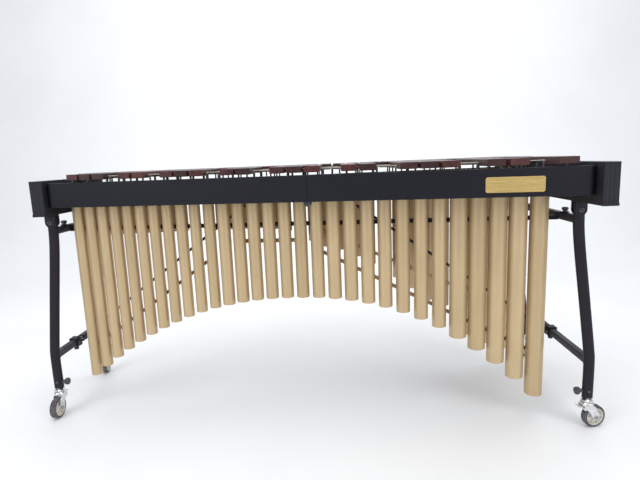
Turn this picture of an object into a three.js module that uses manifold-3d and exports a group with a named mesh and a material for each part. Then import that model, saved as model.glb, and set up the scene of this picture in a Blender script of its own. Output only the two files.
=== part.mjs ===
// A four-and-a-third octave concert bar instrument on a wheeled frame.
// Millimetres, +Z up, floor at Z = 0. X runs along the keyboard with the low notes at +X,
// the audience side faces -Y and the player stands at +Y. The pieces are drawn about the middle
// of the keyboard, then the whole is moved so that the origin is under the middle of its box.
import * as THREE from 'three';
import { mergeVertices } from 'three/addons/utils/BufferGeometryUtils.js';
import Module from 'manifold-3d';

const wasm = await Module();
wasm.setup();

// ---- Driving dimensions ------------------------------------------------------------------

const GAP = 0.3; // clearance between neighbouring pieces

const BAR_TOP = 885;
const BAR_THICK = 20;
const BAR_BOTTOM = BAR_TOP - BAR_THICK;
const BAR_SPACING = 9; // open space between two neighbouring bars
const CORD_Z = BAR_TOP - BAR_THICK / 2;
const CORD_RADIUS = 1.6;
const NODE_SHARE = 0.224; // still points of a bar, as a share of its length from each end

const LOWEST_NOTE = 45; // A2, numbered as on a keyboard controller
const HIGHEST_NOTE = 96; // C7
const SLOT_LOW = 65; // keyboard width taken by the lowest natural
const SLOT_HIGH = 45;
const CONCERT_A = { note: 69, hertz: 440 };
const SOUND_SPEED = 343000;

const ROW_GAP = 7; // from the middle line to the inner bar ends
const BAR_MARGIN = 12; // from the outer bar ends to the outer face of the frame
const ACCIDENTAL_LENGTH = { middle: 291, slope: 0.14 };
const NATURAL_LENGTH = { middle: 303, slope: 0.146 };

const BOARD_TOP = { accidental: 858, natural: 838 };
const BOARD_BOTTOM = 776;
const BOARD_THICK = 16;
const SEAM_X = 40; // where the long boards are joined
const END_OUTER = 893;
const END_INNER = 850;
const END_TOP = 867;
const END_BOTTOM = 748;
const END_NOSE = 20; // how far the end boards stand proud of the long boards

const RAIL_TOP = 842;
const RAIL_BOTTOM = 814;
const RAIL_WIDTH = 14;

const TUBE_TOP = 842;
const TUBE_WALL = 1.5;
const TUBE_SIDES = 6;
const WELD = 0.7; // how deep a strip sinks into the wall of a tube
const SMALL_TUBE = 19.5; // radius of the tubes at the high end
const WIDER_TUBES = [
  { from: 510, radius: 28.5 },
  { from: 80, radius: 23.5 },
  { from: -290, radius: 22 },
];
const STOPPER_THICK = 4;
// The lower ends of the audience row of tubes rise to a crown and fall away to both sides.
const ARCH = { x: 4, z: 433, power: 2.25 };
const ARCH_FALL = { low: { drop: 400, span: 826 }, high: { drop: 258, span: 754 } };
const SPARE_LENGTH = 45; // tube left below the stopper of a natural
const LOWEST_TUBE_END = 76;
const HIGHEST_TUBE_END = 640;
// A hanger bar ends in a riser and a thin lug, which lies on the upper cross bar of the legs.
const HANGER = { height: 14, depth: 12, riserInner: 839, riserOuter: 849, lug: 3 };
const HANGER_BOTTOM = { accidental: 680, natural: 746 };
const TIE = { height: 14, depth: 3 };
// Ends of the strips that tie the tubes together lower down, each as X and Z.
const ACCIDENTAL_TIES = [
  [[-798, 230], [-310, 573]],
  [[-240, 623], [-10, 623]],
  [[35, 600], [785, 216]],
];
const NATURAL_TIES = [[[60, 610], [812, 262]]];

const LEG_PATH = [[869, 742], [873, 640], [899, 440], [920, 280], [925, 225], [925, 104]];
const FOOT_X = 925; // where a leg meets its caster
const LEG_SECTION = { x: 34, y: 22 };
const LEG_BOTTOM = 104;
const LEG_Y = { high: { audience: -142, player: 190 }, low: { audience: -285, player: 285 } };
const UPPER_BAR = { x: 871, z: 690, size: 24 };
const LOWER_BAR = { x: 925, z: 228, size: 24 };
const PIVOT = { x: 869.5, z: 722 }; // bolt through the top of a leg
const PIVOT_BOLT = 4; // its radius
const YOKE_WIDTH = 36;

const STAY_TOP = { high: [-153, 790], low: [114, 790] };
const STAY_FOOT = { x: 893, z: 247 };
const STAY_RADIUS = 5;
const STAY_PIN = 4; // radius of the pins through the eyes of a stay
const LUG_Y = 9.5; // from the middle of a stay to the lugs that hold it
const NAMEPLATE = { x: 634, halfWidth: 80, bottom: 790, top: 834, thick: 1.5 };
const KNOB_BOLT = 3; // radius of the bolts that the hand knobs turn on

const WHEEL_RADIUS = 37.5;
const WHEEL_WIDTH = 22;
const WHEEL_FACETS = 16;
const HUB_RADIUS = 29;
const CASTER_TRAIL = 25;
const CASTER_HEADING = {
  high: { audience: -90, player: 100 },
  low: { audience: 11, player: 35 },
};
const STEM_RADIUS = 7.5;
const SOCKET_RADIUS = 8.3;
const STEM_LENGTH = 90;
const CLAMP_Z = 128;
const FORK_HALF = WHEEL_WIDTH / 2 + 2.5; // from the middle of a wheel to the inside of a fork blade
const AXLE_RADIUS = 4;
const BRAKE_PIVOT = { x: -13, z: 72, radius: 2 };
// Heights of the swivel head that turns on the caster stem.
const HEAD = { bottom: 78.3, top: 91.7, bore: 5 };

const SIDES = ['high', 'low'];
const FACES = ['audience', 'player'];
const sideSign = { high: -1, low: 1 };

// ---- Materials -----------------------------------------------------------------------------

function finish(color, metalness, roughness) {
  return new THREE.MeshStandardMaterial({ color, metalness, roughness });
}

const charcoal = finish(0x2b2c33, 0.3, 0.5);
const rosewood = finish(0x5a2a22, 0.0, 0.4);
const champagne = finish(0xcba675, 0.8, 0.35);
const chrome = finish(0xc9ccd0, 1.0, 0.2);
const rubber = finish(0x3c3a40, 0.0, 0.8);
const palePlastic = finish(0xd8d4c8, 0.0, 0.5);
const blackPlastic = finish(0x141416, 0.0, 0.5);
const gilt = finish(0xd9b45a, 0.9, 0.3);

// ---- Solids --------------------------------------------------------------------------------

function signedVolume(position, index) {
  const a = new THREE.Vector3();
  const b = new THREE.Vector3();
  const c = new THREE.Vector3();
  let total = 0;
  for (let i = 0; i < index.length; i += 3) {
    a.fromBufferAttribute(position, index[i]);
    b.fromBufferAttribute(position, index[i + 1]);
    c.fromBufferAttribute(position, index[i + 2]);
    total += a.dot(b.cross(c));
  }
  return total;
}

function toManifold(source) {
  const bare = source.clone();
  bare.deleteAttribute('normal');
  bare.deleteAttribute('uv');
  const merged = mergeVertices(bare, 1e-4);
  const position = merged.getAttribute('position');
  const index = [];
  for (let i = 0; i < merged.index.count; i += 3) {
    const corners = [0, 1, 2].map((k) => merged.index.getX(i + k));
    if (new Set(corners).size === 3) {
      index.push(...corners);
    }
  }
  if (signedVolume(position, index) < 0) {
    index.reverse();
  }
  const mesh = new wasm.Mesh({
    numProp: 3,
    vertProperties: new Float32Array(position.array),
    triVerts: new Uint32Array(index),
  });
  return new wasm.Manifold(mesh);
}

function toGeometry(manifold) {
  const mesh = manifold.getMesh();
  const geometry = new THREE.BufferGeometry();
  const corners = new Float32Array(mesh.vertProperties);
  geometry.setAttribute('position', new THREE.BufferAttribute(corners, 3));
  geometry.setIndex(new THREE.BufferAttribute(new Uint32Array(mesh.triVerts), 1));
  geometry.computeVertexNormals();
  return geometry;
}

function join(pieces) {
  return toGeometry(pieces.map(toManifold).reduce((body, piece) => body.add(piece)));
}

function cut(body, tools) {
  return toGeometry(tools.map(toManifold).reduce((rest, tool) => rest.subtract(tool), toManifold(body)));
}

function box(sizeX, sizeY, sizeZ, x, y, z) {
  return new THREE.BoxGeometry(sizeX, sizeY, sizeZ).translate(x, y, z);
}

function outline(points) {
  return new THREE.Shape(points.map(([x, y]) => new THREE.Vector2(x, y)));
}

function extruded(points, depth) {
  return new THREE.ExtrudeGeometry(outline(points), { depth, bevelEnabled: false });
}

// An outline drawn in X and Z, given a thickness along Y and centred on the given Y.
function upright(points, thick, y = 0) {
  return extruded(points, thick).rotateX(Math.PI / 2).translate(0, y + thick / 2, 0);
}

// A flat plan outline in X and Y, raised from one height to another.
function slab(points, bottom, top) {
  return extruded(points, top - bottom).translate(0, 0, bottom);
}

// A straight rail whose middle line follows y = lineY(x).
function slantedRail(lineY, startX, endX, width, bottom, top) {
  const half = width / 2;
  return slab([
    [startX, lineY(startX) - half],
    [endX, lineY(endX) - half],
    [endX, lineY(endX) + half],
    [startX, lineY(startX) + half],
  ], bottom, top);
}

function turned(profile, sides) {
  const points = profile.map(([radius, height]) => new THREE.Vector2(radius, height));
  const lathe = new THREE.LatheGeometry(points, sides);
  return lathe.rotateX(Math.PI / 2); // spun about Y, then stood up so that its axis is +Z
}

function rod(radius, length, sides = 8) {
  return new THREE.CylinderGeometry(radius, radius, length, sides).rotateX(Math.PI / 2);
}

function rodAlongY(radius, length, x, y, z, sides = 8) {
  return new THREE.CylinderGeometry(radius, radius, length, sides).translate(x, y, z);
}

function rodBetween(start, end, radius, sides = 8) {
  const from = new THREE.Vector3(...start);
  const to = new THREE.Vector3(...end);
  const length = from.distanceTo(to);
  const direction = to.clone().sub(from).normalize();
  const turn = new THREE.Quaternion().setFromUnitVectors(new THREE.Vector3(0, 0, 1), direction);
  const middle = from.add(to).multiplyScalar(0.5);
  return rod(radius, length, sides).applyQuaternion(turn).translate(...middle);
}

// ---- The notes and their places --------------------------------------------------------------

function isNatural(note) {
  return [0, 2, 4, 5, 7, 9, 11].includes(note % 12);
}

function quarterWave(note) {
  const hertz = CONCERT_A.hertz * 2 ** ((note - CONCERT_A.note) / 12);
  return SOUND_SPEED / hertz / 4;
}

function layOutNotes() {
  const numbers = Array.from({ length: HIGHEST_NOTE - LOWEST_NOTE + 1 }, (_, i) => LOWEST_NOTE + i);
  const naturals = numbers.filter(isNatural);
  const last = naturals.length - 1;
  const slots = naturals.map((_, i) => SLOT_LOW * (SLOT_HIGH / SLOT_LOW) ** (i / last));
  let edge = slots.reduce((sum, slot) => sum + slot) / 2;
  const natural = [];
  const accidental = [];
  const between = [];
  naturals.forEach((note, i) => {
    if (i > 0) {
      const slot = (slots[i - 1] + slots[i]) / 2;
      between.push({ x: edge, slot, note: isNatural(note - 1) ? null : note - 1 });
    }
    natural.push({ x: edge - slots[i] / 2, slot: slots[i], note });
    edge -= slots[i];
  });
  accidental.push(...between.filter((place) => place.note !== null));
  return { natural, accidental, between };
}

const places = layOutNotes();

const rows = {
  accidental: {
    sign: -1,
    length: ACCIDENTAL_LENGTH,
    bars: places.accidental,
    tubes: places.between,
    boardTop: BOARD_TOP.accidental,
    hangerBottom: HANGER_BOTTOM.accidental,
    ties: ACCIDENTAL_TIES,
  },
  natural: {
    sign: 1,
    length: NATURAL_LENGTH,
    bars: places.natural,
    tubes: places.natural,
    boardTop: BOARD_TOP.natural,
    hangerBottom: HANGER_BOTTOM.natural,
    ties: NATURAL_TIES,
  },
};

function barLength(row, x) {
  return row.length.middle + row.length.slope * x;
}

// Y of a point at a given share of the bar length, counted from the middle of the instrument.
function rowY(row, x, share) {
  return row.sign * (ROW_GAP + share * barLength(row, x));
}

function frameY(row, x) {
  return row.sign * (ROW_GAP + barLength(row, x) + BAR_MARGIN);
}

// ---- Bars ------------------------------------------------------------------------------------

// Side view of a bar: flat ends over the cords and an arch hollowed out underneath the middle.
function barProfile(length, pitchShare) {
  const depth = BAR_THICK * (0.35 + 0.25 * pitchShare);
  const arch = [[0.28, 0], [0.38, 0.75], [0.5, 1], [0.62, 0.75], [0.72, 0]];
  return [
    [0, BAR_BOTTOM],
    ...arch.map(([along, rise]) => [along * length, BAR_BOTTOM + rise * depth]),
    [length, BAR_BOTTOM],
    [length, BAR_TOP],
    [0, BAR_TOP],
  ];
}

function bar(row, place) {
  const length = barLength(row, place.x);
  const width = place.slot - BAR_SPACING;
  const pitchShare = (place.slot - SLOT_HIGH) / (SLOT_LOW - SLOT_HIGH);
  const nearestY = rowY(row, place.x, row.sign > 0 ? 0 : 1);
  const lying = upright(barProfile(length, pitchShare), width);
  return lying.rotateZ(Math.PI / 2).translate(place.x, nearestY, 0);
}

function cordEnds(row) {
  const first = row.bars[0];
  const last = row.bars[row.bars.length - 1];
  return [first.x + first.slot / 2, last.x - last.slot / 2];
}

function cord(row, share) {
  const [start, end] = cordEnds(row);
  const ends = [start, end].map((x) => [x, rowY(row, x, share), CORD_Z]);
  return rodBetween(ends[0], ends[1], CORD_RADIUS, 4);
}

function barSet(row) {
  const cords = [NODE_SHARE, 1 - NODE_SHARE].map((share) => cord(row, share));
  return join([...row.bars.map((place) => bar(row, place)), ...cords]);
}

// ---- Rails that carry the cords ----------------------------------------------------------------

function postPlaces(row) {
  const found = new Map();
  row.bars.forEach(({ x, slot }) => {
    [x - slot / 2, x + slot / 2].forEach((edge) => {
      const taken = [...found.keys()].some((other) => Math.abs(other - edge) < BAR_SPACING / 2);
      if (!taken) {
        found.set(edge, true);
      }
    });
  });
  return [...found.keys()];
}

function nodeRail(row, share) {
  const lineY = (x) => rowY(row, x, share);
  const limit = END_INNER - GAP;
  const rail = slantedRail(lineY, -limit, limit, RAIL_WIDTH, RAIL_BOTTOM, RAIL_TOP);
  const postTop = CORD_Z - CORD_RADIUS - GAP;
  const height = postTop - RAIL_TOP + 4; // sunk into the rail
  const posts = postPlaces(row).map((x) => box(4, 6, height, x, lineY(x), postTop - height / 2));
  return join([rail, ...posts]);
}

// ---- Long boards, end boards and their joints -----------------------------------------------------

// Plan of half a long board: straight, then curling inwards where it meets the end board.
function boardPlan(row, side) {
  const s = sideSign[side];
  const curl = 24;
  const tip = s * (END_INNER - GAP);
  const bend = tip - s * curl;
  const seam = SEAM_X + s * GAP / 2;
  const inward = -row.sign;
  const outer = [];
  const inner = [];
  [0, 0.25, 0.5, 0.75, 1].forEach((turn) => {
    const angle = turn * Math.PI / 2;
    const alongOuter = bend + s * curl * Math.sin(angle);
    const alongInner = bend + s * (curl - BOARD_THICK) * Math.sin(angle);
    const base = frameY(row, bend);
    outer.push([alongOuter, base + inward * curl * (1 - Math.cos(angle))]);
    inner.push([alongInner, base + inward * (curl - (curl - BOARD_THICK) * Math.cos(angle))]);
  });
  return [
    [seam, frameY(row, seam)],
    ...outer,
    ...inner.reverse(),
    [seam, frameY(row, seam) + inward * BOARD_THICK],
  ];
}

function longBoard(row, side) {
  return join([slab(boardPlan(row, side), BOARD_BOTTOM, row.boardTop)]);
}

// A plate behind the seam with a half-round tongue showing under the board.
function seamPlate(row) {
  const thick = 6;
  const turn = Math.atan(row.sign * row.length.slope);
  const inset = BOARD_THICK + (thick / 2 + GAP) / Math.cos(turn);
  const height = row.boardTop - BOARD_BOTTOM - 22;
  const pieces = [
    box(120, thick, height, 0, 0, BOARD_BOTTOM + 8 + height / 2),
    box(26, thick, 20, 0, 0, BOARD_BOTTOM + 6),
    rodAlongY(13, thick, 0, 0, BOARD_BOTTOM - 3, 12),
  ];
  return join(pieces).rotateZ(turn).translate(SEAM_X, frameY(row, SEAM_X) - row.sign * inset, 0);
}

function endReach(row, side) {
  return frameY(row, sideSign[side] * (END_OUTER + END_INNER) / 2) + row.sign * END_NOSE;
}

function endBoard(side) {
  const s = sideSign[side];
  const front = endReach(rows.accidental, side);
  const back = endReach(rows.natural, side);
  const thick = END_OUTER - END_INNER;
  const x = s * (END_INNER + thick / 2);
  const middleY = (front + back) / 2;
  const middleZ = (END_TOP + END_BOTTOM) / 2;
  const body = box(thick, back - front, END_TOP - END_BOTTOM, x, middleY, middleZ);
  const lipHeight = 9;
  const lipZ = END_BOTTOM + lipHeight / 2;
  const lip = box(thick, back - front + 6, lipHeight, x + s * GAP, middleY, lipZ);
  const flutes = [];
  [front, back].forEach((y) => {
    [-12, 0, 12].forEach((offset) => {
      flutes.push(box(6, 4, 92, x + offset, y, middleZ + lipHeight / 2));
    });
  });
  return cut(join([body, lip]), flutes);
}

function centrePlate() {
  const [highX] = STAY_TOP.high;
  const [lowX] = STAY_TOP.low;
  const top = RAIL_BOTTOM - GAP;
  const thick = 6;
  const reachX = lowX - highX + 60;
  const plate = box(reachX, 176, thick, (lowX + highX) / 2, 0, top - thick / 2);
  const lugs = [];
  SIDES.forEach((side) => {
    const [x, z] = STAY_TOP[side];
    [-LUG_Y, LUG_Y].forEach((y) => {
      lugs.push(box(20, 5, top - z + 10, x, y, (top + z - 10) / 2));
    });
    lugs.push(rodAlongY(STAY_PIN, 2 * LUG_Y, x, 0, z));
  });
  return join([plate, ...lugs]);
}

function namePlate() {
  const { x, halfWidth, bottom, top, thick } = NAMEPLATE;
  const lineY = (at) => frameY(rows.accidental, at) - GAP - thick / 2;
  return slantedRail(lineY, x - halfWidth, x + halfWidth, thick, bottom, top);
}

// ---- Resonators --------------------------------------------------------------------------------

function tubeRadius(x) {
  const size = WIDER_TUBES.find(({ from }) => x > from);
  return size ? size.radius : SMALL_TUBE;
}

function tubeEnd(row, place) {
  if (row.sign > 0) {
    const end = TUBE_TOP - quarterWave(place.note) - SPARE_LENGTH;
    return THREE.MathUtils.clamp(end, LOWEST_TUBE_END, HIGHEST_TUBE_END);
  }
  const away = place.x - ARCH.x;
  const { drop, span } = away > 0 ? ARCH_FALL.low : ARCH_FALL.high;
  return ARCH.z - drop * (Math.abs(away) / span) ** ARCH.power;
}

// A tube that sounds has a stopper a quarter wave below its mouth. The others are open pipes.
function tube(row, place) {
  const outer = tubeRadius(place.x);
  const inner = outer - TUBE_WALL;
  const end = tubeEnd(row, place);
  const profile = [[inner, TUBE_TOP], [outer, TUBE_TOP], [outer, end], [inner, end]];
  if (place.note === null) {
    profile.push([inner, TUBE_TOP]);
  } else {
    const stop = Math.max(end + STOPPER_THICK + 2, TUBE_TOP - quarterWave(place.note));
    profile.push([inner, stop - STOPPER_THICK], [0, stop - STOPPER_THICK], [0, stop], [inner, stop]);
    profile.push([inner, TUBE_TOP]);
  }
  const turn = Math.PI / TUBE_SIDES + rowAngle(row); // lays a flat side against the hanger
  return turned(profile, TUBE_SIDES).rotateZ(turn).translate(place.x, tubeY(row, place.x), 0);
}

// Angle between the middle line of a row and the X axis.
function rowAngle(row) {
  return Math.atan(row.sign * row.length.slope / 2);
}

// The line that the flat inner sides of all the tubes of a row touch.
function backLineY(row, x) {
  return rowY(row, x, 0.5) - row.sign * SMALL_TUBE * Math.cos(Math.PI / TUBE_SIDES);
}

function tubeY(row, x) {
  const reach = tubeRadius(x) * Math.cos(Math.PI / TUBE_SIDES) / Math.cos(rowAngle(row));
  return backLineY(row, x) + row.sign * reach;
}

function hangerY(row, x) {
  return backLineY(row, x) - row.sign * (HANGER.depth / 2 - WELD);
}

// A strip from one X and Z to another, lying in the plane of X and Z.
function tieStrip([[fromX, fromZ], [toX, toZ]]) {
  return upright([
    [fromX, fromZ],
    [toX, toZ],
    [toX, toZ + TIE.height],
    [fromX, fromZ + TIE.height],
  ], TIE.depth);
}

// Moves a strip lying along X so that it follows the slanted row of tubes.
function alongRow(row, strip, depth) {
  const position = strip.getAttribute('position');
  for (let i = 0; i < position.count; i += 1) {
    const back = backLineY(row, position.getX(i)) - row.sign * (depth / 2 - WELD);
    position.setY(i, position.getY(i) + back);
  }
  return strip;
}

function lugBottom() {
  return UPPER_BAR.z + UPPER_BAR.size / 2 + GAP;
}

// Front view of a hanger bar, whose risers step up or down to the lugs on the cross bars.
function hangerOutline(row) {
  const bottom = row.hangerBottom;
  const top = bottom + HANGER.height;
  const lugTop = lugBottom() + HANGER.lug;
  const reach = UPPER_BAR.x + UPPER_BAR.size / 2;
  const { riserInner, riserOuter } = HANGER;
  const below = bottom < lugBottom();
  const half = [
    [below ? riserOuter : riserInner, bottom],
    [below ? riserOuter : riserInner, lugBottom()],
    [reach, lugBottom()],
    [reach, lugTop],
    [below ? riserInner : riserOuter, lugTop],
    [below ? riserInner : riserOuter, top],
  ];
  const mirrored = half.map(([x, z]) => [-x, z]).reverse();
  return [...half, ...mirrored];
}

// The bar that every tube of a row hangs from. Its lugs are drilled for the knob bolts.
function hangerBar(row) {
  const solid = alongRow(row, upright(hangerOutline(row), HANGER.depth), HANGER.depth);
  const holes = SIDES.map((side) => {
    const x = sideSign[side] * UPPER_BAR.x;
    return rod(KNOB_BOLT + GAP, 4 * HANGER.lug).translate(x, hangerY(row, x), lugBottom());
  });
  return cut(solid, holes);
}

function resonatorBank(row) {
  const tubes = row.tubes.map((place) => tube(row, place));
  const strips = row.ties.map((ends) => alongRow(row, tieStrip(ends), TIE.depth));
  return join([...tubes, hangerBar(row), ...strips]);
}

// ---- Legs --------------------------------------------------------------------------------------

function ovalSection() {
  const points = [];
  const flat = (LEG_SECTION.x - LEG_SECTION.y) / 2;
  const radius = LEG_SECTION.y / 2;
  for (let i = 0; i < 8; i += 1) {
    const angle = (i + 0.5) * Math.PI / 4;
    const shift = Math.cos(angle) > 0 ? flat : -flat;
    points.push([radius * Math.sin(angle), shift + radius * Math.cos(angle)]);
  }
  return outline(points);
}

function leg(side, y) {
  const s = sideSign[side];
  const path = new THREE.CatmullRomCurve3(LEG_PATH.map(([x, z]) => new THREE.Vector3(s * x, y, z)));
  return new THREE.ExtrudeGeometry(ovalSection(), { steps: 10, extrudePath: path, bevelEnabled: false });
}

function crossBar(side, place, ys) {
  const length = ys.player - ys.audience;
  const middle = (ys.player + ys.audience) / 2;
  return box(place.size, length, place.size, sideSign[side] * place.x, middle, place.z);
}

function legFrame(side) {
  const ys = LEG_Y[side];
  const s = sideSign[side];
  const frame = join([
    ...FACES.map((face) => leg(side, ys[face])),
    crossBar(side, UPPER_BAR, ys),
    crossBar(side, LOWER_BAR, ys),
  ]);
  const footX = s * FOOT_X;
  const holes = Object.values(rows).map((row) => {
    const x = s * UPPER_BAR.x;
    return rod(KNOB_BOLT + GAP, UPPER_BAR.size).translate(x, hangerY(row, x), lugBottom());
  });
  FACES.forEach((face) => {
    const y = ys[face];
    const socket = STEM_LENGTH + 12;
    holes.push(rod(SOCKET_RADIUS, 2 * socket, 12).translate(footX, y, LEG_BOTTOM));
    holes.push(rodAlongY(PIVOT_BOLT + GAP, 2 * LEG_SECTION.y, s * PIVOT.x, y, PIVOT.z));
    const inward = footX - s * LEG_SECTION.x;
    holes.push(rodBetween([footX, y, CLAMP_Z], [inward, y, CLAMP_Z], KNOB_BOLT + GAP));
  });
  return cut(frame, holes);
}

// A yoke under the end board. Its bolt runs through the top of the leg.
function legYoke(side, face) {
  const x = sideSign[side] * PIVOT.x;
  const y = LEG_Y[side][face];
  const top = END_BOTTOM - GAP;
  const cheekY = LEG_SECTION.y / 2 + GAP + 2;
  const pieces = [box(YOKE_WIDTH, 2 * cheekY + 4, 4, x, y, top - 2)];
  [-1, 1].forEach((turn) => {
    const middleZ = (top + PIVOT.z) / 2;
    pieces.push(box(YOKE_WIDTH, 4, top - PIVOT.z, x, y + turn * cheekY, middleZ));
    pieces.push(rodAlongY(YOKE_WIDTH / 2, 4, x, y + turn * cheekY, PIVOT.z, 12));
    pieces.push(rodAlongY(2 * PIVOT_BOLT, 5, x, y + turn * (cheekY + 4), PIVOT.z));
  });
  pieces.push(rodAlongY(PIVOT_BOLT, 2 * cheekY, x, y, PIVOT.z));
  return join(pieces);
}

// ---- Stays -------------------------------------------------------------------------------------

function stayFoot(side) {
  return [sideSign[side] * STAY_FOOT.x, 0, STAY_FOOT.z];
}

// A rod with an eye at each end.
function stay(side) {
  const [topX, topZ] = STAY_TOP[side];
  const [footX, , footZ] = stayFoot(side);
  const shaft = rodBetween([footX, 0, footZ], [topX, 0, topZ], STAY_RADIUS, 8);
  const ends = [[topX, topZ], [footX, footZ]];
  const eyes = ends.map(([x, z]) => rodAlongY(9, 12, x, 0, z));
  const holes = ends.map(([x, z]) => rodAlongY(STAY_PIN + GAP, 14, x, 0, z));
  return cut(join([shaft, ...eyes]), holes);
}

// A saddle over the lower cross bar. It carries the foot of the stay and a bolt underneath.
function stayClamp(side) {
  const s = sideSign[side];
  const inner = LOWER_BAR.size + 2 * GAP;
  const outer = inner + 8;
  const x = s * LOWER_BAR.x;
  const shell = box(outer, 30, outer, x, 0, LOWER_BAR.z);
  const opening = box(inner, 40, inner, x, 0, LOWER_BAR.z);
  const [footX, , footZ] = stayFoot(side);
  const cheeks = [-LUG_Y, LUG_Y].map((y) => box(26, 5, 18, footX + s * 5, y, footZ - 5));
  const pin = rodAlongY(STAY_PIN, 2 * LUG_Y, footX, 0, footZ);
  const under = LOWER_BAR.z - outer / 2;
  const bolt = rod(4, 26).translate(x, 0, under - 12);
  const head = rod(9, 7).translate(x, 0, under - 22);
  return join([cut(shell, [opening]), ...cheeks, pin, bolt, head]);
}

// ---- Knobs -------------------------------------------------------------------------------------

// A round hand knob standing on Z = 0, with its bolt pointing down.
function knobTurning(radius, thick, boltLength) {
  return turned([
    [0, -boltLength],
    [KNOB_BOLT, -boltLength],
    [KNOB_BOLT, 0],
    [radius * 0.7, 0],
    [radius, thick * 0.3],
    [radius, thick * 0.7],
    [radius * 0.6, thick],
    [0, thick],
  ], 8);
}

// Holds a lug of a hanger down on the upper cross bar.
function hangerKnob(side, row) {
  const x = sideSign[side] * UPPER_BAR.x;
  const top = lugBottom() + HANGER.lug + GAP;
  const bolt = HANGER.lug + UPPER_BAR.size / 2 - GAP;
  return knobTurning(11, 14, bolt).translate(x, hangerY(row, x), top);
}

// Pinches the caster stem inside the foot of a leg.
function legKnob(side, face) {
  const s = sideSign[side];
  const footX = s * FOOT_X;
  const headX = footX - s * (LEG_SECTION.x / 2 + 9);
  const bolt = Math.abs(headX - footX) - STEM_RADIUS - GAP;
  const knob = knobTurning(12, 15, bolt);
  return knob.rotateY(-s * Math.PI / 2).translate(headX, LEG_Y[side][face], CLAMP_Z);
}

// ---- Casters -----------------------------------------------------------------------------------
// Each caster is drawn at the origin with its swivel axis on Z and its wheel towards +X.

function casterStem() {
  return turned([
    [0, HEAD.bottom - 2.3],
    [STEM_RADIUS, HEAD.bottom - 2.3],
    [STEM_RADIUS, HEAD.bottom - GAP],
    [HEAD.bore, HEAD.bottom - GAP],
    [HEAD.bore, HEAD.top + GAP],
    [17, HEAD.top + GAP],
    [19, HEAD.top + 4],
    [15, LEG_BOTTOM - GAP],
    [STEM_RADIUS, LEG_BOTTOM - GAP],
    [STEM_RADIUS, LEG_BOTTOM + STEM_LENGTH],
    [0, LEG_BOTTOM + STEM_LENGTH],
  ], 12);
}

// A round head with two blades, the wheel's axle between them and a hole for the brake pin.
function casterFork() {
  const thick = 2.5;
  const bore = HEAD.bore + GAP;
  const head = turned([
    [bore, HEAD.bottom],
    [20, HEAD.bottom],
    [21, HEAD.top - 5],
    [17, HEAD.top],
    [bore, HEAD.top],
    [bore, HEAD.bottom],
  ], 12);
  const blade = [[-17, 84], [16, 84], [34, 46], [34, 30], [18, 28], [8, 42], [-8, 64], [-17, 66]];
  const blades = [-1, 1].map((turn) => upright(blade, thick, turn * (FORK_HALF + thick / 2)));
  const outside = 2 * (FORK_HALF + thick);
  const axle = rodAlongY(AXLE_RADIUS, outside + 8, CASTER_TRAIL, 0, WHEEL_RADIUS);
  const { x, z, radius } = BRAKE_PIVOT;
  const pinHole = rodAlongY(radius + GAP, outside + 2, x, 0, z);
  return cut(join([head, ...blades, axle]), [pinHole]);
}

function wheelRing(profile) {
  const flatTurn = Math.PI / WHEEL_FACETS; // lays one facet of the tread flat on the floor
  const ring = turned(profile, WHEEL_FACETS).rotateX(Math.PI / 2).rotateY(flatTurn);
  return ring.translate(CASTER_TRAIL, 0, WHEEL_RADIUS);
}

function wheelTyre() {
  const facet = Math.cos(Math.PI / WHEEL_FACETS);
  const outer = WHEEL_RADIUS / facet;
  const half = WHEEL_WIDTH / 2;
  const inner = HUB_RADIUS + GAP;
  return wheelRing([
    [inner, -half],
    [outer - 4, -half],
    [outer, -half + 5],
    [outer, half - 5],
    [outer - 4, half],
    [inner, half],
    [inner, -half],
  ]);
}

function wheelHub() {
  const half = WHEEL_WIDTH / 2;
  const bore = AXLE_RADIUS + GAP;
  return wheelRing([
    [bore, -half - 1],
    [11, -half - 1],
    [13, -half + 4],
    [22, -half + 4],
    [HUB_RADIUS, -half],
    [HUB_RADIUS, half],
    [22, half - 4],
    [13, half - 4],
    [11, half + 1],
    [bore, half + 1],
    [bore, -half - 1],
  ]);
}

// A pressed tab over the wheel. Its pin turns in the two blades of the fork.
// A pedal that reaches away from the wheel. Pressing it swings the shoe below its pin at the tyre.
function brakeLever() {
  const { x, z, radius } = BRAKE_PIVOT;
  const pedal = [
    [-11, 61],
    [-9, 61],
    [-9, 74],
    [-12, 75],
    [-36, 80],
    [-37, 77],
    [-15, 71],
    [-13, 62],
  ];
  const tab = upright(pedal, WHEEL_WIDTH);
  const barrel = rodAlongY(radius + 1.2, 2 * (FORK_HALF - GAP), x, 0, z);
  const pin = rodAlongY(radius, 2 * FORK_HALF + 6, x, 0, z);
  return join([tab, barrel, pin]);
}

function placeCaster(geometry, side, face) {
  const heading = THREE.MathUtils.degToRad(CASTER_HEADING[side][face]);
  const footX = sideSign[side] * FOOT_X;
  return geometry.rotateZ(heading).translate(footX, LEG_Y[side][face], 0);
}

// ---- Assembly ----------------------------------------------------------------------------------

const instrument = new THREE.Group();
instrument.name = 'concert_xylophone';

function add(name, geometry, material) {
  const mesh = new THREE.Mesh(geometry, material);
  mesh.name = name;
  instrument.add(mesh);
}

function addFrame() {
  const boardNames = { accidental: 'audience', natural: 'player' };
  Object.entries(rows).forEach(([rowName, row]) => {
    const face = boardNames[rowName];
    SIDES.forEach((side) => add(`${face}_board_${side}`, longBoard(row, side), charcoal));
    add(`${face}_board_joint`, seamPlate(row), blackPlastic);
    add(`${rowName}_inner_rail`, nodeRail(row, NODE_SHARE), charcoal);
    add(`${rowName}_outer_rail`, nodeRail(row, 1 - NODE_SHARE), charcoal);
  });
  SIDES.forEach((side) => add(`end_board_${side}`, endBoard(side), charcoal));
  add('centre_plate', centrePlate(), charcoal);
  add('blank_nameplate', namePlate(), gilt);
}

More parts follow.
